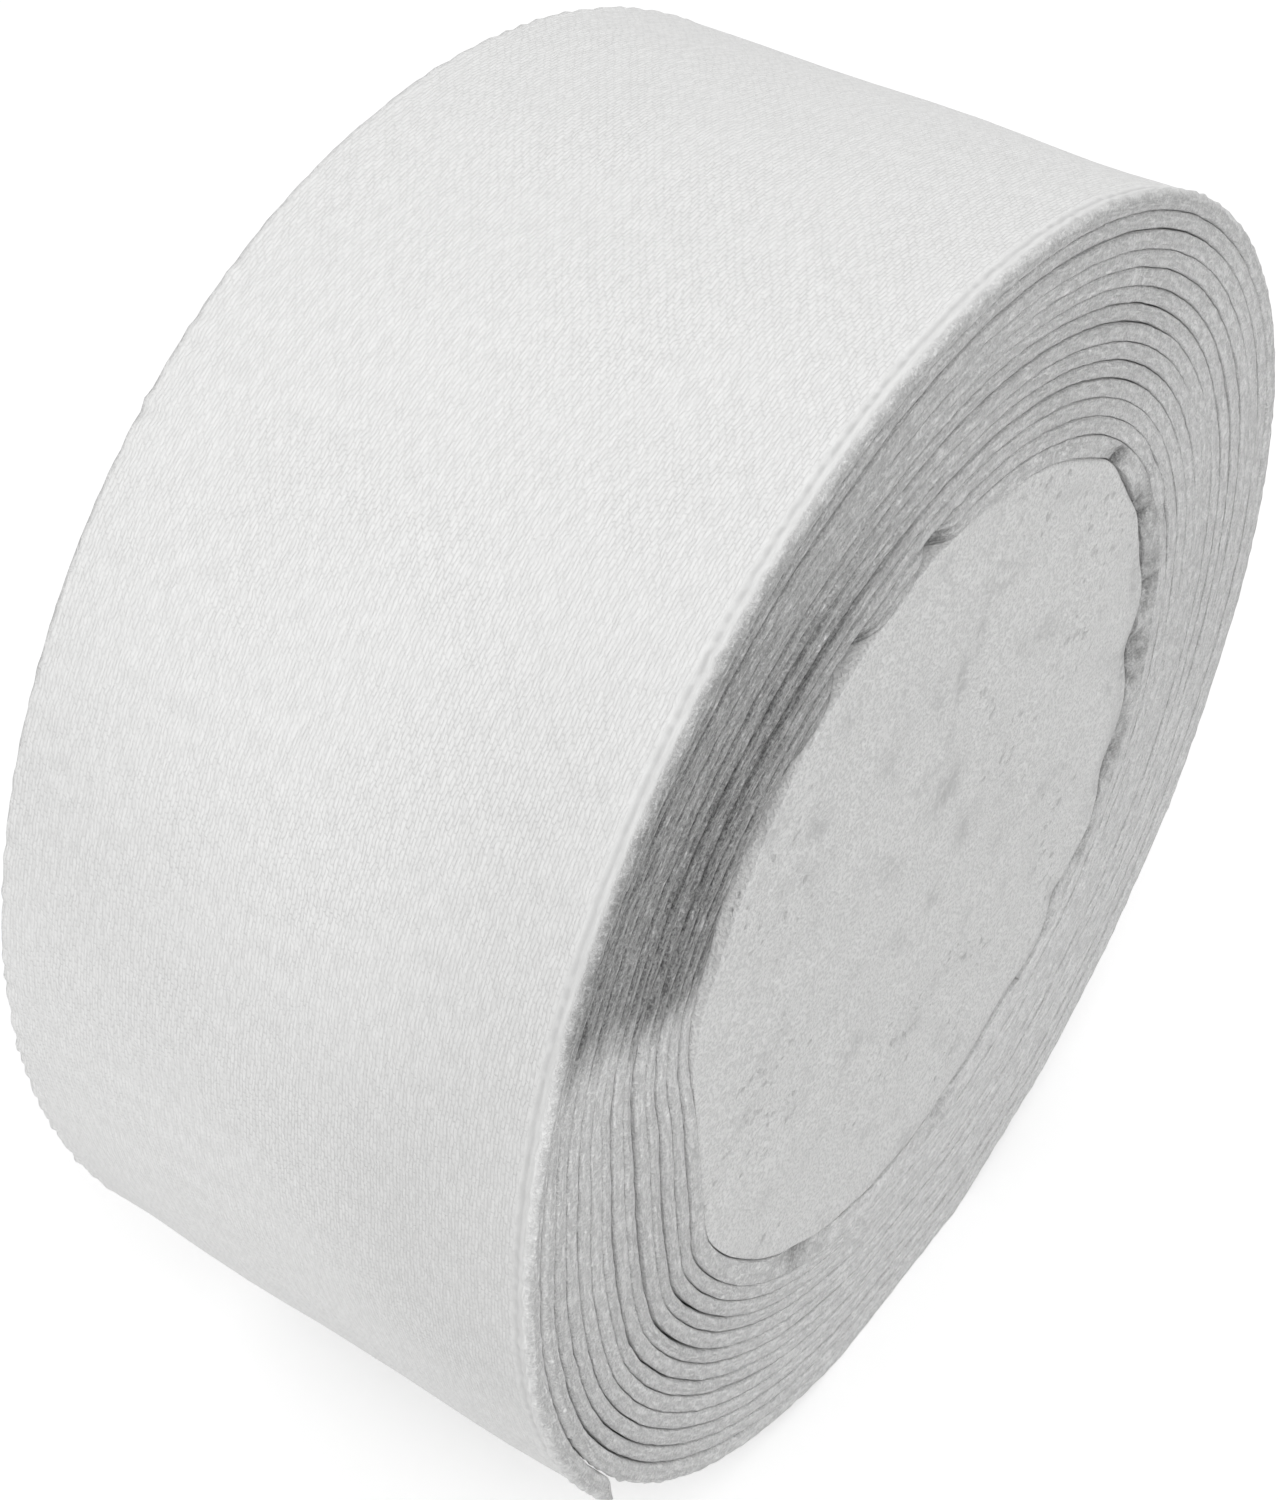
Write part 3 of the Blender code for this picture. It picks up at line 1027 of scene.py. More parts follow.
@dataclass
class Winding:
    """The whole tape: its inner turns, its outer turn and the stretches of its tail."""

    cloth: Cloth
    inner_step: float = 1.3
    outer_step: float = 1.0
    tail_step: float = 0.5
    under_tail: float = 10.0
    lead_in: float = 8.0
    selvedge_starts: float = 10.0
    selvedge_full: float = 70.0
    blend_reach: float = 0.0020
    hinge_ahead: float = 2.0
    blunt_rises: tuple[float, ...] = (0.35, 0.65)
    outer_places_mm: tuple[float, ...] = (
        0.28, 0.36, 0.46, 0.58, 0.66, 0.72, 0.78, 0.84, 0.92, 1.2, 1.8, 3.0, 4.6, 6.4, 8.4, 10.6
    )
    inner_section: Section = field(init=False)
    outer_section: Section = field(init=False)

    def __post_init__(self) -> None:
        """Sets the two sections: few columns for hidden faces, many where the selvedge shows."""
        shared = {"blunt_rises": self.blunt_rises, "half_width": self.cloth.form.tape_width / 2.0}
        self.inner_section = Section(
            outer_places=(0.0012,), inner_places=(0.0012,),
            corner_angles=(0.0, 45.0, 90.0), corner=-0.0004, **shared
        )
        self.outer_section = Section(
            outer_places=tuple(place * MM for place in self.outer_places_mm), inner_places=(0.0012, 0.006),
            corner_angles=(0.0, 30.0, 60.0, 90.0), corner=0.00022, **shared
        )

    def runs(self) -> list[TapeRun]:
        """The tape's runs: the inner turns, the outer turn, and a run about each of the tail's hinges.

        Returns:
            The runs, in order from the tape's start to its cut end.
        """
        form, cloth = self.cloth.form, self.cloth
        exposed = form.tail_start - FULL_TURN - self.under_tail
        tail_from = form.tail_start - self.lead_in
        hinges = [form.hinge(number) for number in range(form.tail_stretches)]
        half = form.tail_span / form.tail_stretches / 2.0
        ends = [tail_from] + [hinge - half for hinge in hinges[1:]] + [form.free_end]
        shown = {"selvedge_from": exposed + self.selvedge_starts, "selvedge_to": exposed + self.selvedge_full}
        inner = TapeRun(
            "tape_inner_turns", form.start_angle, exposed, self.inner_step, self.inner_section, cloth,
            selvedge_from=exposed, selvedge_to=exposed + 1.0
        )
        outer = TapeRun(
            "tape_outer_turn", exposed, tail_from, self.outer_step, self.outer_section, cloth, **shown
        )
        tail = [
            TapeRun(f"tape_tail_run_{number + 1}", first, last, self.tail_step, self.outer_section, cloth,
                    clearance=cloth.tail_clearance, cut_end=last == form.free_end, **shown)
            for number, (first, last) in enumerate(zip(ends, ends[1:]))
        ]
        return [inner, outer, *tail]

    def blend_points(self, number: int) -> tuple[tuple[float, float, float], tuple[float, float, float]]:
        """Where a tail run starts and stops turning: from its hinge line on, along the tape.

        Args:
            number: Which hinge, counted from 0.

        Returns:
            The two points, in metres.
        """
        form = self.cloth.form
        hinge = form.hinge(number)
        start, ahead = np.array(form.point(hinge)), np.array(form.point(hinge + self.hinge_ahead))
        run = (ahead - start) / np.linalg.norm(ahead - start)
        end = start + run * self.blend_reach
        return tuple(float(c) for c in start), tuple(float(c) for c in end)

    def build(self, material: bpy.types.Material, plug: bpy.types.Object) -> list[bpy.types.Object]:
        """Args:
            material: The cloth's finish.
            plug: The piece that the tape is wound on. Not used.

        Returns:
            The pieces, in order.
        """
        runs = self.runs()
        pieces = [run.build(material) for run in runs]
        for piece in pieces[:2]:
            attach(piece, "winding")
            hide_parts("tape_winding")
        for number, piece in enumerate(pieces[2:]):
            start, end = self.blend_points(number)
            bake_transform(piece)
            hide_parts(f"tape_tail_{number + 1}")
        for run, piece in zip(runs, pieces):
            LOG.info("%s: %.0f mm of tape, %d points", run.name, run.length() / MM, len(piece.data.vertices))
        flat = (self.cloth.form.tape_width, runs[0].length())
        return pieces


@dataclass
class Plug:
    """The pressed-fibre plug that the tape is wound on.

    Each hollow in its face has an angle, a distance from the roll's axis in millimetres, a half
    length in degrees, a half width in millimetres and a share of the hollows' depth.
    """

    form: RollForm
    spokes: int = 240
    face_rings: int = 20
    face_crowding: float = 0.85
    wall_rings: int = 7
    rim_angles: tuple[float, ...] = (0.0, 22.5, 45.0, 67.5, 90.0)
    rim_rounding: float = 0.00005
    rim_softer: float = 0.00060
    crushed_place: float = 5.0
    crushed_half: float = 55.0
    crushed_least: float = 0.75
    crushed_uneven: float = 0.45
    crushed_noise: Ripple = Ripple(24.0, 63)
    waviness: float = 0.00006
    face_drop: float = 1.2
    broad_noise: Ripple = Ripple(0.0065, 61)
    fine_noise: Ripple = Ripple(0.0024, 62)
    fine_share: float = 0.5
    inside: float = 0.00002
    hollow_depth: float = 0.00018
    hollows: tuple[tuple[float, float, float, float, float], ...] = (
        (340.0, 17.0, 12.0, 0.6, 0.7), (0.0, 16.4, 8.0, 0.6, 0.9), (18.0, 17.2, 8.0, 0.5, 0.7),
        (315.0, 16.9, 2.5, 0.9, 0.7), (135.9, 16.2, 1.8, 0.9, 0.9), (292.0, 17.6, 9.0, 0.4, 0.5),
        (60.0, 17.6, 12.0, 0.4, 0.4), (99.0, 5.1, 16.0, 1.2, 0.9), (145.0, 17.0, 1.0, 0.7, 0.8),
        (120.0, 12.0, 3.0, 1.5, 0.5), (333.0, 5.4, 12.0, 0.8, 0.5), (40.0, 1.5, 40.0, 1.2, 0.7),
        (92.0, 10.8, 3.0, 1.4, 0.8), (86.0, 12.6, 2.0, 1.0, 0.7), (101.0, 11.4, 2.5, 1.2, 0.6),
    )

    @property
    def angles(self) -> np.ndarray:
        """Angles of the spokes, in degrees."""
        return np.linspace(0.0, FULL_TURN, self.spokes, endpoint=False)

    def profile(self) -> dict[str, np.ndarray]:
        """The plug's profile from the near face's centre round to the far face's.

        Rim: inset = rounding * (1 - sin), drop = rounding * (1 - cos), over a quarter turn.

        Returns:
            For each ring: share of the way out, inset and drop in roundings, and side along Y,
            which is -1 on the near face, 1 on the far one and between them on the wall.
        """
        rim = np.radians(self.rim_angles)
        face = np.linspace(0.0, 1.0, self.face_rings + 1)[1:-1] ** self.face_crowding
        wall = np.linspace(-1.0, 1.0, self.wall_rings + 2)[1:-1]
        flat, rims = 0.0 * face, 1.0 + 0.0 * rim
        inset, drop = 1.0 - np.sin(rim), 1.0 - np.cos(rim)
        return {
            "share": np.concatenate([face, rims, 1.0 + 0.0 * wall, rims, face[::-1]]),
            "inset": np.concatenate([flat, inset, 0.0 * wall, inset[::-1], flat]),
            "drop": np.concatenate([flat, drop, 1.0 - np.abs(wall), drop[::-1], flat]),
            "side": np.concatenate([flat - 1.0, -rims, wall, rims, flat + 1.0]),
        }

    def hollow(self, x: np.ndarray, z: np.ndarray) -> np.ndarray:
        """How far places on the face lie in its few shallow hollows, which also get painted shade.

        Args:
            x: Each place's X.
            z: Each place's height over the surface that the roll stands on.

        Returns:
            Shares from 0 to 1.
        """
        height = z - self.form.axis_height
        angle, out = np.degrees(np.arctan2(height, x)), np.hypot(x, height) / MM
        parts = [
            share * bump_round(place, half, angle) * bump_at(ring, width, out)
            for place, ring, half, width, share in self.hollows
        ]
        return np.clip(np.sum(parts, axis=0), 0.0, 1.0)

    def crushed_rim(self) -> np.ndarray:
        """How crushed the rim is at each spoke, 0 to 1: at the right, unevenly."""
        uneven = self.crushed_least + self.crushed_uneven * self.crushed_noise.read(self.angles)
        return np.clip(bump_round(self.crushed_place, self.crushed_half, self.angles) * uneven, 0.0, 1.0)

    def points(self) -> np.ndarray:
        """Rings of points: centre + unit spoke * (outline distance * share - inset), face waved.

        Returns:
            Rings by spokes by 3.
        """
        ring = {key: value[:, None] for key, value in self.profile().items()}
        rounding = (self.rim_rounding + self.rim_softer * self.crushed_rim())[None, :]
        centre = self.form.plug_centre()
        radius = self.form.soft_plug_radius(self.angles) - self.inside
        turned = np.radians(self.angles)
        outline = np.stack([radius * np.cos(turned), self.form.axis_height + radius * np.sin(turned)], axis=1)
        spoke = outline - centre
        reach = np.linalg.norm(spoke, axis=1)
        spoke = spoke / reach[:, None]
        out = reach[None, :] * ring["share"] - ring["inset"] * rounding
        x = centre[0] + out * spoke[None, :, 0]
        z = centre[1] + out * spoke[None, :, 1]
        on_face = np.abs(ring["side"]) == 1.0
        wave = self.broad_noise.read(x, z) + self.fine_share * self.fine_noise.read(x, z)
        sunk = self.waviness * (self.face_drop + wave) + self.hollow_depth * self.hollow(x, z)
        sunk = sunk + ring["drop"] * rounding
        half = self.form.core_width / 2.0
        y = ring["side"] * np.where(on_face, half - sunk, half - rounding - 2.0 * self.waviness)
        return np.stack([x, y, z], axis=-1)

    def build(self, material: bpy.types.Material) -> bpy.types.Object:
        """Makes the plug's mesh, with a single point at each face's centre, and ties it to its body.

        Args:
            material: The pressed fibre's finish.

        Returns:
            The object, at the origin.
        """
        points = self.points()
        rings, spokes = points.shape[:2]
        index = np.arange(rings * spokes).reshape(rings, spokes)
        after = np.roll(index, -1, axis=1)
        poles = np.stack([points[0].mean(axis=0), points[-1].mean(axis=0)])
        near = np.stack([np.full(spokes, rings * spokes), after[0], index[0]], axis=-1)
        far = np.stack([np.full(spokes, rings * spokes + 1), index[-1], after[-1]], axis=-1)
        mesh = bpy.data.meshes.new("pressed_fibre_plug")
        faces = ring_quads(index) + near.tolist() + far.tolist()
        every = np.concatenate([points.reshape(-1, 3), poles])
        mesh.from_pydata(every, [], faces)
        # Painted shade in the face's hollows and on the crushed rim, for the finish to read.
        crushed = np.outer(np.sqrt(self.profile()["drop"]), self.crushed_rim())
        crushed = np.concatenate([crushed.ravel(), np.zeros(len(poles))])
        keep_shares(mesh, "painted_shade", np.maximum(self.hollow(every[:, 0], every[:, 2]), crushed))
        mesh.update()
        piece = put_in_scene("pressed_fibre_plug", outward_facing(mesh), material)
        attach(piece, "core")
        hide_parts("core_plug")
        LOG.info("pressed_fibre_plug: %d points", len(mesh.vertices))
        return piece


class NodeBench:
    """Lays out shader nodes in a tree and joins them."""

    def __init__(self, tree: bpy.types.NodeTree) -> None:
        """Keeps the tree to work on."""
        self.tree = tree

    def feed(self, node: bpy.types.Node, inputs: Inputs) -> bpy.types.Node:
        """Sets a node's inputs to values and joins sockets to them.

        Args:
            node: The node.
            inputs: For each input's name or number, a value or an output socket.

        Returns:
            The node.
        """
        for key, value in inputs.items():
            if isinstance(value, bpy.types.NodeSocket):
                self.tree.links.new(value, node.inputs[key])
            else:
                node.inputs[key].default_value = value
        return node

    def add(self, kind: str, inputs: Inputs | None = None, **settings: object) -> bpy.types.Node:
        """A new node.

        Args:
            kind: The node's type name.
            inputs: Values or output sockets for its inputs.
            **settings: The node's own settings.

        Returns:
            The node.
        """
        node = self.tree.nodes.new(kind)
        for key, value in settings.items():
            setattr(node, key, value)
        return self.feed(node, inputs or {})

    def math(self, operation: str, *values: Wired) -> bpy.types.NodeSocket:
        """The result of a Math node on up to three values or sockets."""
        return self.add("ShaderNodeMath", dict(enumerate(values)), operation=operation).outputs[0]

    def times(self, first: Wired, second: Wired) -> bpy.types.NodeSocket:
        """The product of two values or sockets."""
        return self.math("MULTIPLY", first, second)

    def noise(
        self, vector: Wired, scale: Wired, detail: float = 2.0, rough: float = 0.5
    ) -> bpy.types.NodeSocket:
        """Noise from 0 to 1, read at a vector, with a scale in features a metre."""
        inputs = {"Vector": vector, "Scale": scale, "Detail": detail, "Roughness": rough}
        return self.add("ShaderNodeTexNoise", inputs).outputs["Fac"]

    def strayed(self, value: Wired, vector: Wired, scale: float, distance: float) -> bpy.types.NodeSocket:
        """A coordinate moved by noise: value + distance * the noise of a scale."""
        return self.math("MULTIPLY_ADD", self.noise(vector, scale), distance, value)

    def fit(
        self, value: Wired, low: float, high: float, to_low: float = 0.0, to_high: float = 1.0
    ) -> bpy.types.NodeSocket:
        """A value's range mapped smoothly onto another."""
        inputs = {"Value": value, "From Min": low, "From Max": high, "To Min": to_low, "To Max": to_high}
        return self.add("ShaderNodeMapRange", inputs, interpolation_type="SMOOTHSTEP").outputs["Result"]

    def mix(self, share: Wired, first: Wired, second: Wired) -> bpy.types.NodeSocket:
        """Two colours mixed by a share.

        Args:
            share: How much of the second colour there is.
            first: The colour at 0.
            second: The colour at 1.

        Returns:
            The mixed colour.
        """
        node = self.add("ShaderNodeMix", data_type="RGBA")
        number = {socket.identifier: place for place, socket in enumerate(node.inputs)}
        self.feed(node, {number["Factor_Float"]: share, number["A_Color"]: first, number["B_Color"]: second})
        return next(socket for socket in node.outputs if socket.identifier == "Result_Color")

    def bump(self, height: bpy.types.NodeSocket, distance: float) -> bpy.types.NodeSocket:
        """A normal bent by a height."""
        return self.add("ShaderNodeBump", {"Height": height, "Distance": distance}).outputs["Normal"]


def new_group(name: str, inputs: dict[str, float | None], outputs: tuple[str, ...]) -> tuple:
    """An empty shader node group with named inputs and outputs.

    Args:
        name: The group's name.
        inputs: For each input, its default value, or None where it is a vector.
        outputs: Names of its outputs, each a single value.

    Returns:
        The group, its bench, its input node and its output node.
    """
    tree = bpy.data.node_groups.new(name, "ShaderNodeTree")
    for label, value in inputs.items():
        kind = "NodeSocketVector" if value is None else "NodeSocketFloat"
        socket = tree.interface.new_socket(label, in_out="INPUT", socket_type=kind)
        if value is not None:
            socket.default_value = value
    for label in outputs:
        tree.interface.new_socket(label, in_out="OUTPUT", socket_type="NodeSocketFloat")
    return tree, NodeBench(tree), tree.nodes.new("NodeGroupInput"), tree.nodes.new("NodeGroupOutput")


@dataclass(frozen=True)
class FibreFuzz:
    """Fine fibres and soft mottling, which the cloth and the plug share.

    Fuzz is noise with three finer layers, and Mottle slower noise with four, both stretched from
    the span in which most of the noise lies to 0 to 1.
    """

    fuzz_scale: float = 9000.0
    fuzz_span: Span = (0.33, 0.67)
    mottle_scale: float = 220.0
    mottle_span: Span = (0.3, 0.7)

    def group(self) -> bpy.types.NodeTree:
        """Makes the node group.

        Returns:
            The group, with outputs Fuzz and Mottle.
        """
        inputs = {"Vector": None, "Fuzz Scale": self.fuzz_scale, "Mottle Scale": self.mottle_scale}
        tree, bench, given, out = new_group("fibre_fuzz", inputs, ("Fuzz", "Mottle"))
        vector, fuzz_scale, mottle_scale = (given.outputs[label] for label in inputs)
        fuzz = bench.fit(bench.noise(vector, fuzz_scale, 3.0, 0.7), *self.fuzz_span)
        mottle = bench.fit(bench.noise(vector, mottle_scale, 4.0, 0.6), *self.mottle_span)
        bench.feed(out, {"Fuzz": fuzz, "Mottle": mottle})
        return tree


@dataclass(frozen=True)
class SatinWeave:
    """A satin-faced weave: ribs along the tape, each broken into floats that step from rib to rib.

    With V the place across over the rib's pitch and U the place along over the float's length,
    the rib is sin(pi * fraction of V) to a power, the float is sin(pi * fraction of (U + step *
    whole V)) eased to a plateau, and the height is their product. Crevices are its low places, which the
    cloth's finish greys as painted shade.
    """

    rib_pitch: float = 0.00016
    float_length: float = 0.00056
    step: float = 0.4
    rib_power: float = 0.6
    plateau: float = 0.55
    crevice_below: float = 0.45

    def group(self) -> bpy.types.NodeTree:
        """Makes the node group.

        Returns:
            The group, with outputs Height and Crevice.
        """
        inputs = {"Along": 0.0, "Across": 0.0, "Rib Pitch": self.rib_pitch, "Float Length": self.float_length,
                  "Step": self.step}
        tree, bench, given, out = new_group("satin_weave", inputs, ("Height", "Crevice"))
        along, across, rib_pitch, float_length, step = (given.outputs[label] for label in inputs)
        v = bench.math("DIVIDE", across, rib_pitch)
        u = bench.math("DIVIDE", along, float_length)
        shifted = bench.math("FRACT", bench.math("ADD", u, bench.times(bench.math("FLOOR", v), step)))
        rib = bench.math("SINE", bench.times(bench.math("FRACT", v), math.pi))
        run = bench.fit(bench.math("SINE", bench.times(shifted, math.pi)), 0.0, self.plateau)
        height = bench.times(bench.math("POWER", rib, self.rib_power), run)
        bench.feed(out, {"Height": height, "Crevice": bench.fit(height, self.crevice_below, 0.0)})
        return tree


def shader_of(name: str) -> tuple[bpy.types.Material, NodeBench, bpy.types.Node]:
    """A new material.

    Args:
        name: Its name.

    Returns:
        The material, its bench and its Principled BSDF.
    """
    material = bpy.data.materials.new(name)
    material.use_nodes = True
    return material, NodeBench(material.node_tree), material.node_tree.nodes["Principled BSDF"]


@dataclass(frozen=True)
class WovenCloth:
    """The tape's finish: white satin-faced weave, a smooth selvedge and fibrous edges, greyed by painted
    shade.

    Scales count features a metre. A stray is a noise's scale and how far it moves a coordinate. A
    span becomes 0 to 1, or its last two values where it has four; mottled_crevices is what the
    mottling's 0 to 1 becomes. Places across are negative towards the near edge.
    """

    face: Colour = (0.845, 0.845, 0.84, 1.0)
    crevice: Colour = (0.62, 0.62, 0.615, 1.0)
    groove: Colour = (0.50, 0.50, 0.50, 1.0)
    edge_dark: Colour = (0.58, 0.58, 0.58, 1.0)
    edge_light: Colour = (0.97, 0.97, 0.965, 1.0)
    shaded_edge_dark: Colour = (0.08, 0.08, 0.08, 1.0)
    shaded_edge_light: Colour = (0.60, 0.60, 0.60, 1.0)
    roughness: float = 0.72
    sheen: float = 0.15
    sheen_roughness: float = 0.5
    specular: float = 0.35
    rib_depth: float = 0.000026

    edge_span: Span = (0.01308, 0.01350)
    selvedge_span: Span = (-0.01275, -0.01245)
    wave_stray: Span = (900.0, 0.00090)
    rib_stray: Span = (1500.0, 0.00022)
    fuzz_scale: float = 7000.0
    mottle_scale: float = 130.0
    mottled_crevices: Span = (0.35, 0.95)
    streak_stretch: tuple[float, float, float] = (0.20, 1.0, 0.0)
    streak_scale: float = 4800.0
    streak_span: Span = (0.39, 0.61)
    fuzz_in_grain: float = 0.55
    stitch_length: float = 0.0009
    stitch_stray: Span = (600.0, 0.0016)
    stitch_place: float = 0.01278
    stitch_half_width: float = 0.00020
    patch_scale: float = 420.0
    patch_span: Span = (0.40, 0.62)
    dash_span: FourSpan = (-0.8, 0.6, 0.55, 0.95)
    dash_grey: float = 0.7
    shade_grey: float = 0.55
    crevice_grey: float = 0.50
    streak_grey: float = 0.30
    fuzz_height: float = 0.35
    dash_height: float = 0.9
    edge_height: float = 3.0
    shaded_edge_relief: float = 4.0

    def stitches(self, bench: NodeBench, coords: Wired, along: Wired, across: Wired) -> bpy.types.NodeSocket:
        """A mask of the painted shade in the stitch groove beside the near edge: uneven dashes, fainter in
        patches.

        Args:
            bench: The material's bench.
            coords: Object coordinates.
            along: Place along the tape.
            across: Place across it.

        Returns:
            The mask, from 0 to 1.
        """
        waves = bench.strayed(along, coords, *self.stitch_stray)
        waves = bench.times(waves, 2.0 * math.pi / self.stitch_length)
        off_line = bench.math("ABSOLUTE", bench.math("ADD", across, self.stitch_place))
        patches = bench.fit(bench.noise(coords, self.patch_scale), *self.patch_span)
        dashes = bench.fit(bench.times(patches, bench.math("SINE", waves)), *self.dash_span)
        return bench.times(bench.fit(off_line, self.stitch_half_width, 0.0), dashes)

    def build(self, weave: bpy.types.NodeTree, fuzz: bpy.types.NodeTree) -> bpy.types.Material:
        """Makes the material.

        Args:
            weave: The satin weave group.
            fuzz: The fibre group.

        Returns:
            The material.
        """
        material, bench, shader = shader_of("white_woven_cloth")
        place = bench.add("ShaderNodeUVMap", uv_map="tape").outputs["UV"]
        along, across, _ = bench.add("ShaderNodeSeparateXYZ", {"Vector": place}).outputs
        coords = bench.add("ShaderNodeTexCoord").outputs["Object"]
        # The painted shade kept on the mesh.
        painted_shade = bench.add("ShaderNodeAttribute", attribute_name="painted_shade").outputs["Fac"]
        edge = bench.fit(bench.math("ABSOLUTE", across), *self.edge_span)
        off_selvedge = bench.fit(across, *self.selvedge_span)
        threads = {
            "Along": bench.strayed(along, coords, *self.wave_stray),
            "Across": bench.strayed(across, coords, *self.rib_stray),
        }
        height, crevice = bench.add("ShaderNodeGroup", threads, node_tree=weave).outputs
        scales = {"Vector": coords, "Fuzz Scale": self.fuzz_scale, "Mottle Scale": self.mottle_scale}
        fibres, mottle = bench.add("ShaderNodeGroup", scales, node_tree=fuzz).outputs
        stretched = {0: place, 1: self.streak_stretch}
        drawn = bench.add("ShaderNodeVectorMath", stretched, operation="MULTIPLY").outputs["Vector"]
        streak = bench.fit(bench.noise(drawn, self.streak_scale, 4.0, 0.7), *self.streak_span)
        grain = bench.mix(self.fuzz_in_grain, streak, fibres)
        dash = self.stitches(bench, coords, along, across)

        # Painted shade in the weave's crevices, broken up by the mottling.
        mottled = bench.fit(mottle, 0.0, 1.0, *self.mottled_crevices)
        crevice = bench.times(crevice, bench.times(off_selvedge, mottled))
        # Painted shade and the painted shade of the crevices grey the face, together with the grain's real
        # streaks.
        grey = bench.math("MULTIPLY_ADD", painted_shade, self.shade_grey, bench.times(crevice, self.crevice_grey))
        grey = bench.math("MULTIPLY_ADD", bench.math("SUBTRACT", 1.0, streak), self.streak_grey, grey)
        face = bench.mix(grey, self.face, self.crevice)
        # Painted shade in the stitch groove.
        face = bench.mix(bench.times(dash, self.dash_grey), face, self.groove)
        # The edge's own colour, and a darker copy of it for the painted shadow.
        clean = bench.mix(grain, self.edge_dark, self.edge_light)
        shaded = bench.mix(grain, self.shaded_edge_dark, self.shaded_edge_light)

        relief = bench.times(height, off_selvedge)
        relief = bench.math("MULTIPLY_ADD", fibres, self.fuzz_height, relief)
        relief = bench.math("MULTIPLY_ADD", dash, -self.dash_height, relief)
        # Deeper fibre relief where the painted shade lies.
        deep = bench.math("MULTIPLY_ADD", painted_shade, self.shaded_edge_relief, self.edge_height)
        relief = bench.math("MULTIPLY_ADD", bench.times(grain, deep), edge, relief)
        bench.feed(shader, {
            "Base Color": bench.mix(edge, face, bench.mix(painted_shade, clean, shaded)),
            "Roughness": self.roughness,
            "Sheen Weight": self.sheen,
            "Sheen Roughness": self.sheen_roughness,
            "Specular IOR Level": self.specular,
            "Normal": bench.bump(relief, self.rib_depth),
        })
        return material


@dataclass(frozen=True)
class PressedFibre:
    """The plug's finish: pale pressed fibre, soft, mottled with grey smudges and short dark marks, with
    painted shade in its hollows and on its crushed rim.

    Scales count features a metre. A span becomes 0 to 1, or its last two values where it has four.
    """

    pale: Colour = (0.79, 0.79, 0.785, 1.0)
    smudge_and_shade: Colour = (0.50, 0.50, 0.50, 1.0)
    mark: Colour = (0.36, 0.36, 0.36, 1.0)
    roughness: float = 0.9
    specular: float = 0.2
    grain_depth: float = 0.00004

    fuzz_scale: float = 6500.0
    mottle_scale: float = 1900.0
    smudge_scale: float = 300.0
    smudge_span: Span = (0.50, 0.72)
    smudge_share: float = 0.65
    # Painted shade in the hollows and on the crushed rim.
    hollow_span: FourSpan = (0.0, 0.8, 0.25, 1.0)
    mark_scale: float = 1500.0
    mark_span: Span = (0.58, 0.72)
    marked_scale: float = 190.0
    marked_span: Span = (0.50, 0.62)
    mark_share: float = 0.5
    pit_span: Span = (0.75, 0.0)
    pit_share: float = 0.6
    mottle_height: float = 0.5
    mark_height: float = 2.0

    def build(self, fuzz: bpy.types.NodeTree) -> bpy.types.Material:
        """Makes the material.

        Args:
            fuzz: The fibre group.

        Returns:
            The material.
        """
        material, bench, shader = shader_of("pale_pressed_fibre")
        coords = bench.add("ShaderNodeTexCoord").outputs["Object"]
        painted_shade = bench.add("ShaderNodeAttribute", attribute_name="painted_shade").outputs["Fac"]
        scales = {"Vector": coords, "Fuzz Scale": self.fuzz_scale, "Mottle Scale": self.mottle_scale}
        fibres, mottle = bench.add("ShaderNodeGroup", scales, node_tree=fuzz).outputs
        broad = bench.fit(bench.noise(coords, self.smudge_scale, 4.0, 0.6), *self.smudge_span)
        smudged = bench.times(broad, bench.times(mottle, self.smudge_share))
        # Painted shade in the hollows and on the crushed rim, broken up by the mottling.
        painted_hollow_shade = bench.times(painted_shade, bench.fit(mottle, *self.hollow_span))
        marks = bench.fit(bench.noise(coords, self.mark_scale, 2.0, 0.6), *self.mark_span)
        marks = bench.times(marks, bench.fit(bench.noise(coords, self.marked_scale, 1.0), *self.marked_span))

        # The smudge grey serves both the real smudges and the painted shade.
        colour = bench.mix(bench.math("MAXIMUM", smudged, painted_hollow_shade), self.pale, self.smudge_and_shade)
        colour = bench.mix(bench.times(marks, self.mark_share), colour, self.mark)
        pits = bench.times(bench.fit(fibres, *self.pit_span), self.pit_share)
        relief = bench.math("MULTIPLY_ADD", mottle, -self.mottle_height, fibres)
        relief = bench.math("MULTIPLY_ADD", marks, -self.mark_height, relief)
        bench.feed(shader, {
            "Base Color": bench.mix(pits, colour, self.smudge_and_shade),
            "Roughness": self.roughness,
            "Specular IOR Level": self.specular,
            "Normal": bench.bump(relief, self.grain_depth),
        })
        return material


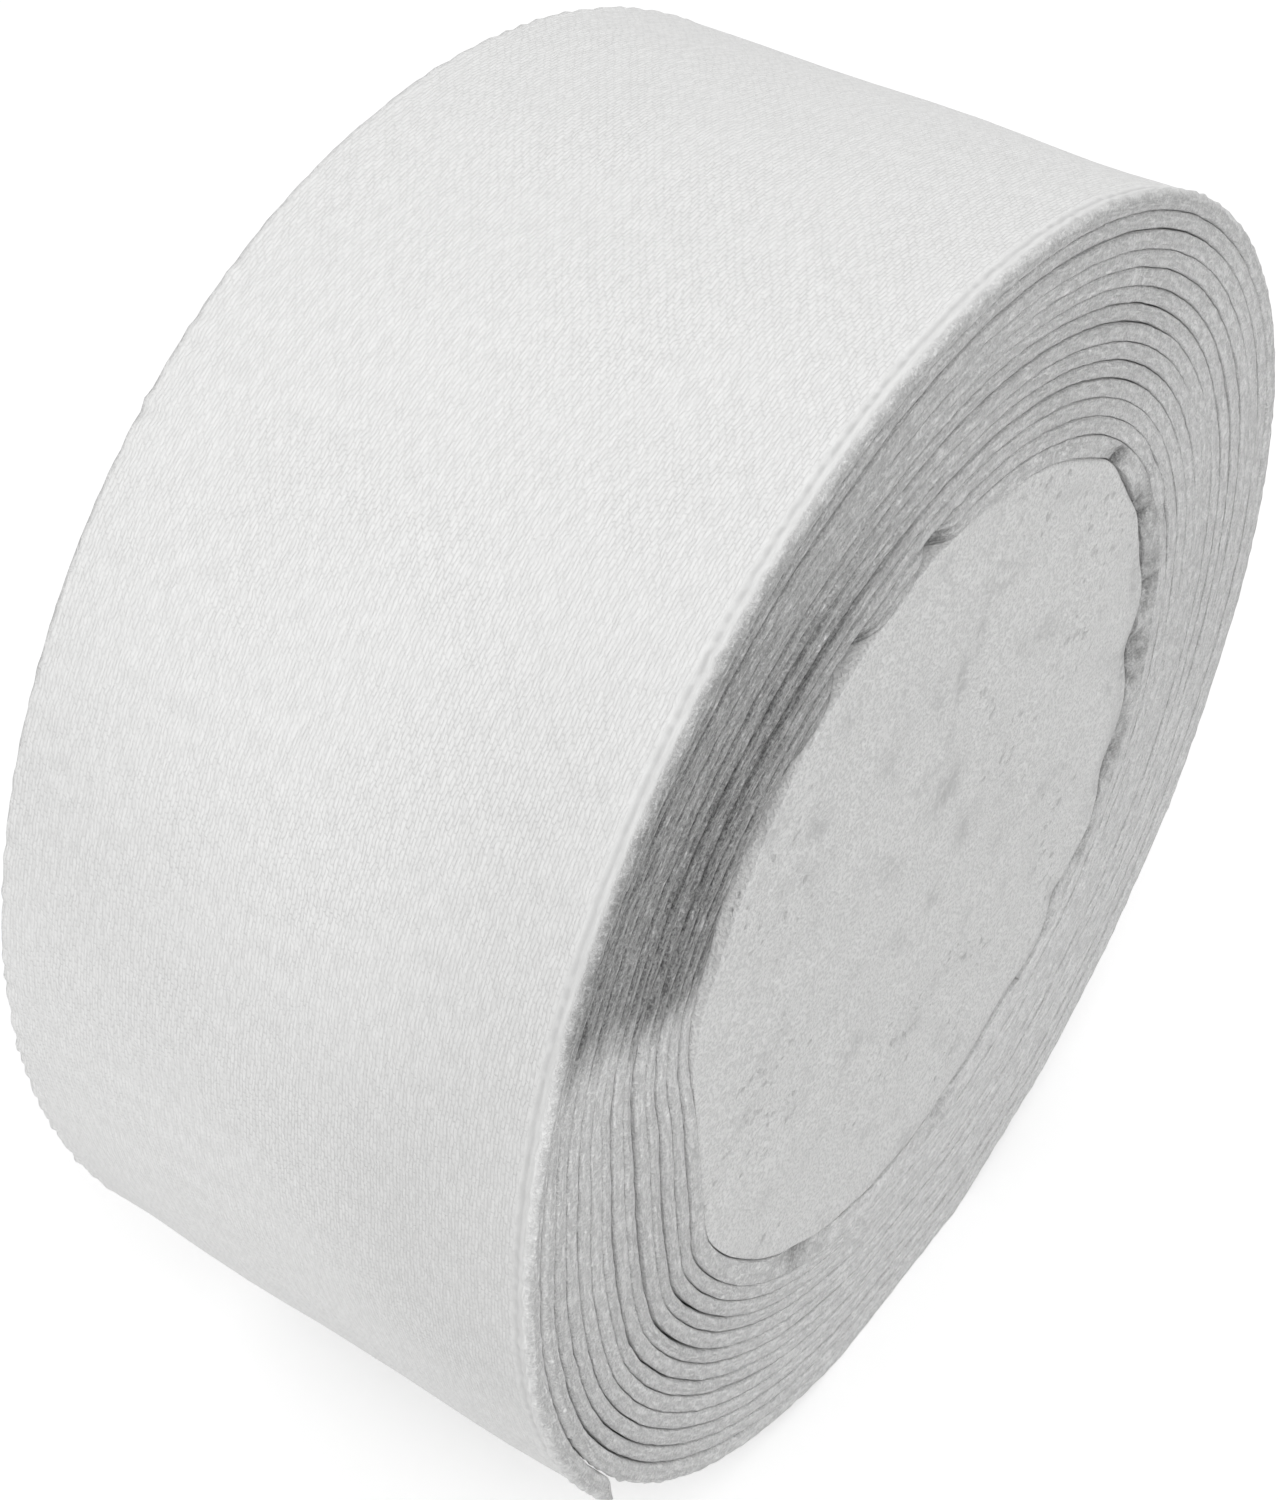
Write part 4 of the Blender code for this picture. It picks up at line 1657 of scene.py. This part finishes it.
@dataclass(frozen=True)
class Studio:
    """The pale floor, the soft lights and the camera at the photograph's viewing angle."""

    form: RollForm
    focal_length: float = 67.473
    floor_size: float = 8.0
    floor_grey: float = 0.84
    floor_glow: float = 0.27
    sky: float = 0.80
    key_power: float = 1.2
    key_place: tuple[float, float, float] = (-0.32, -0.23, 0.53)
    key_size: float = 0.35
    sensor_longer_side: float = 36.0
    clip_start: float = 0.005
    camera_x: tuple[float, float, float] = (0.57845, -0.81571, 0.00016)
    camera_y: tuple[float, float, float] = (0.55277, 0.39212, 0.73533)
    camera_z: tuple[float, float, float] = (-0.59985, -0.42526, 0.67772)
    camera_place: tuple[float, float, float] = (-0.080165, -0.053358, 0.118375)

    def add_camera(self) -> None:
        """Stands the camera where the photograph was taken from."""
        data = bpy.data.cameras.new("photo_camera")
        data.lens = self.focal_length
        data.sensor_width = self.sensor_longer_side
        data.sensor_fit = "AUTO"
        data.clip_start = self.clip_start
        camera = bpy.data.objects.new("photo_camera", data)
        turned = Matrix((self.camera_x, self.camera_y, self.camera_z)).transposed().to_4x4()
        camera.matrix_world = Matrix.Translation(self.camera_place) @ turned
        bpy.context.scene.collection.objects.link(camera)
        bpy.context.scene.camera = camera

    def add_floor(self) -> None:
        """Lays the pale floor: matt, and lifted towards white only where the camera sees it."""
        half = self.floor_size / 2.0
        mesh = bpy.data.meshes.new("floor")
        corners = [(-half, -half, 0.0), (half, -half, 0.0), (half, half, 0.0), (-half, half, 0.0)]
        mesh.from_pydata(corners, [], [(0, 1, 2, 3)])
        material = bpy.data.materials.new("pale_floor")
        material.use_nodes = True
        bench = NodeBench(material.node_tree)
        material.node_tree.nodes.clear()
        grey = (self.floor_grey, self.floor_grey, self.floor_grey, 1.0)
        matt = bench.add("ShaderNodeBsdfDiffuse", {"Color": grey}).outputs[0]
        seen = bench.add("ShaderNodeLightPath").outputs["Is Camera Ray"]
        glow = bench.add("ShaderNodeEmission", {"Strength": bench.times(seen, self.floor_glow)}).outputs[0]
        both = bench.add("ShaderNodeAddShader", {0: matt, 1: glow}).outputs[0]
        bench.add("ShaderNodeOutputMaterial", {"Surface": both})
        put_in_scene("floor", mesh, material)

    def add_lights(self) -> None:
        """Hangs one broad soft lamp to the upper left, under an even pale sky."""
        world = bpy.data.worlds.new("sky")
        world.use_nodes = True
        bench = NodeBench(world.node_tree)
        world.node_tree.nodes.clear()
        seen = bench.add("ShaderNodeLightPath").outputs["Is Camera Ray"]
        strength = bench.math("MULTIPLY_ADD", seen, 1.0 - self.sky, self.sky)
        light = bench.add("ShaderNodeBackground", {"Color": (1.0, 1.0, 1.0, 1.0), "Strength": strength})
        bench.add("ShaderNodeOutputWorld", {"Surface": light.outputs[0]})
        bpy.context.scene.world = world
        data = bpy.data.lights.new("key", "AREA")
        data.shape = "DISK"
        data.size = self.key_size
        data.energy = self.key_power
        lamp = bpy.data.objects.new("key", data)
        lamp.location = self.key_place
        aim = Matrix.Translation((0.0, 0.0, self.form.axis_height)).to_translation() - lamp.location
        lamp.rotation_euler = aim.to_track_quat("-Z", "Y").to_euler()
        bpy.context.scene.collection.objects.link(lamp)

    def build(self) -> None:
        """Sets the stage, the lights, the camera and the view."""
        self.add_camera()
        self.add_floor()
        self.add_lights()
        bpy.context.scene.view_settings.view_transform = "Standard"


def main() -> None:
    """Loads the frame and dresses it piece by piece."""
    logging.basicConfig(level=logging.INFO, format="%(name)s: %(message)s")
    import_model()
    form = RollForm()
    Studio(form).build()
    fuzz = FibreFuzz().group()
    cloth = WovenCloth().build(SatinWeave().group(), fuzz)
    fibre = PressedFibre().build(fuzz)
    plug = Plug(form).build(fibre)
    pieces = Winding(Cloth(form)).build(cloth, plug)
    LOG.info("%d pieces of tape on one plug", len(pieces))


if __name__ == "__main__":
    main()
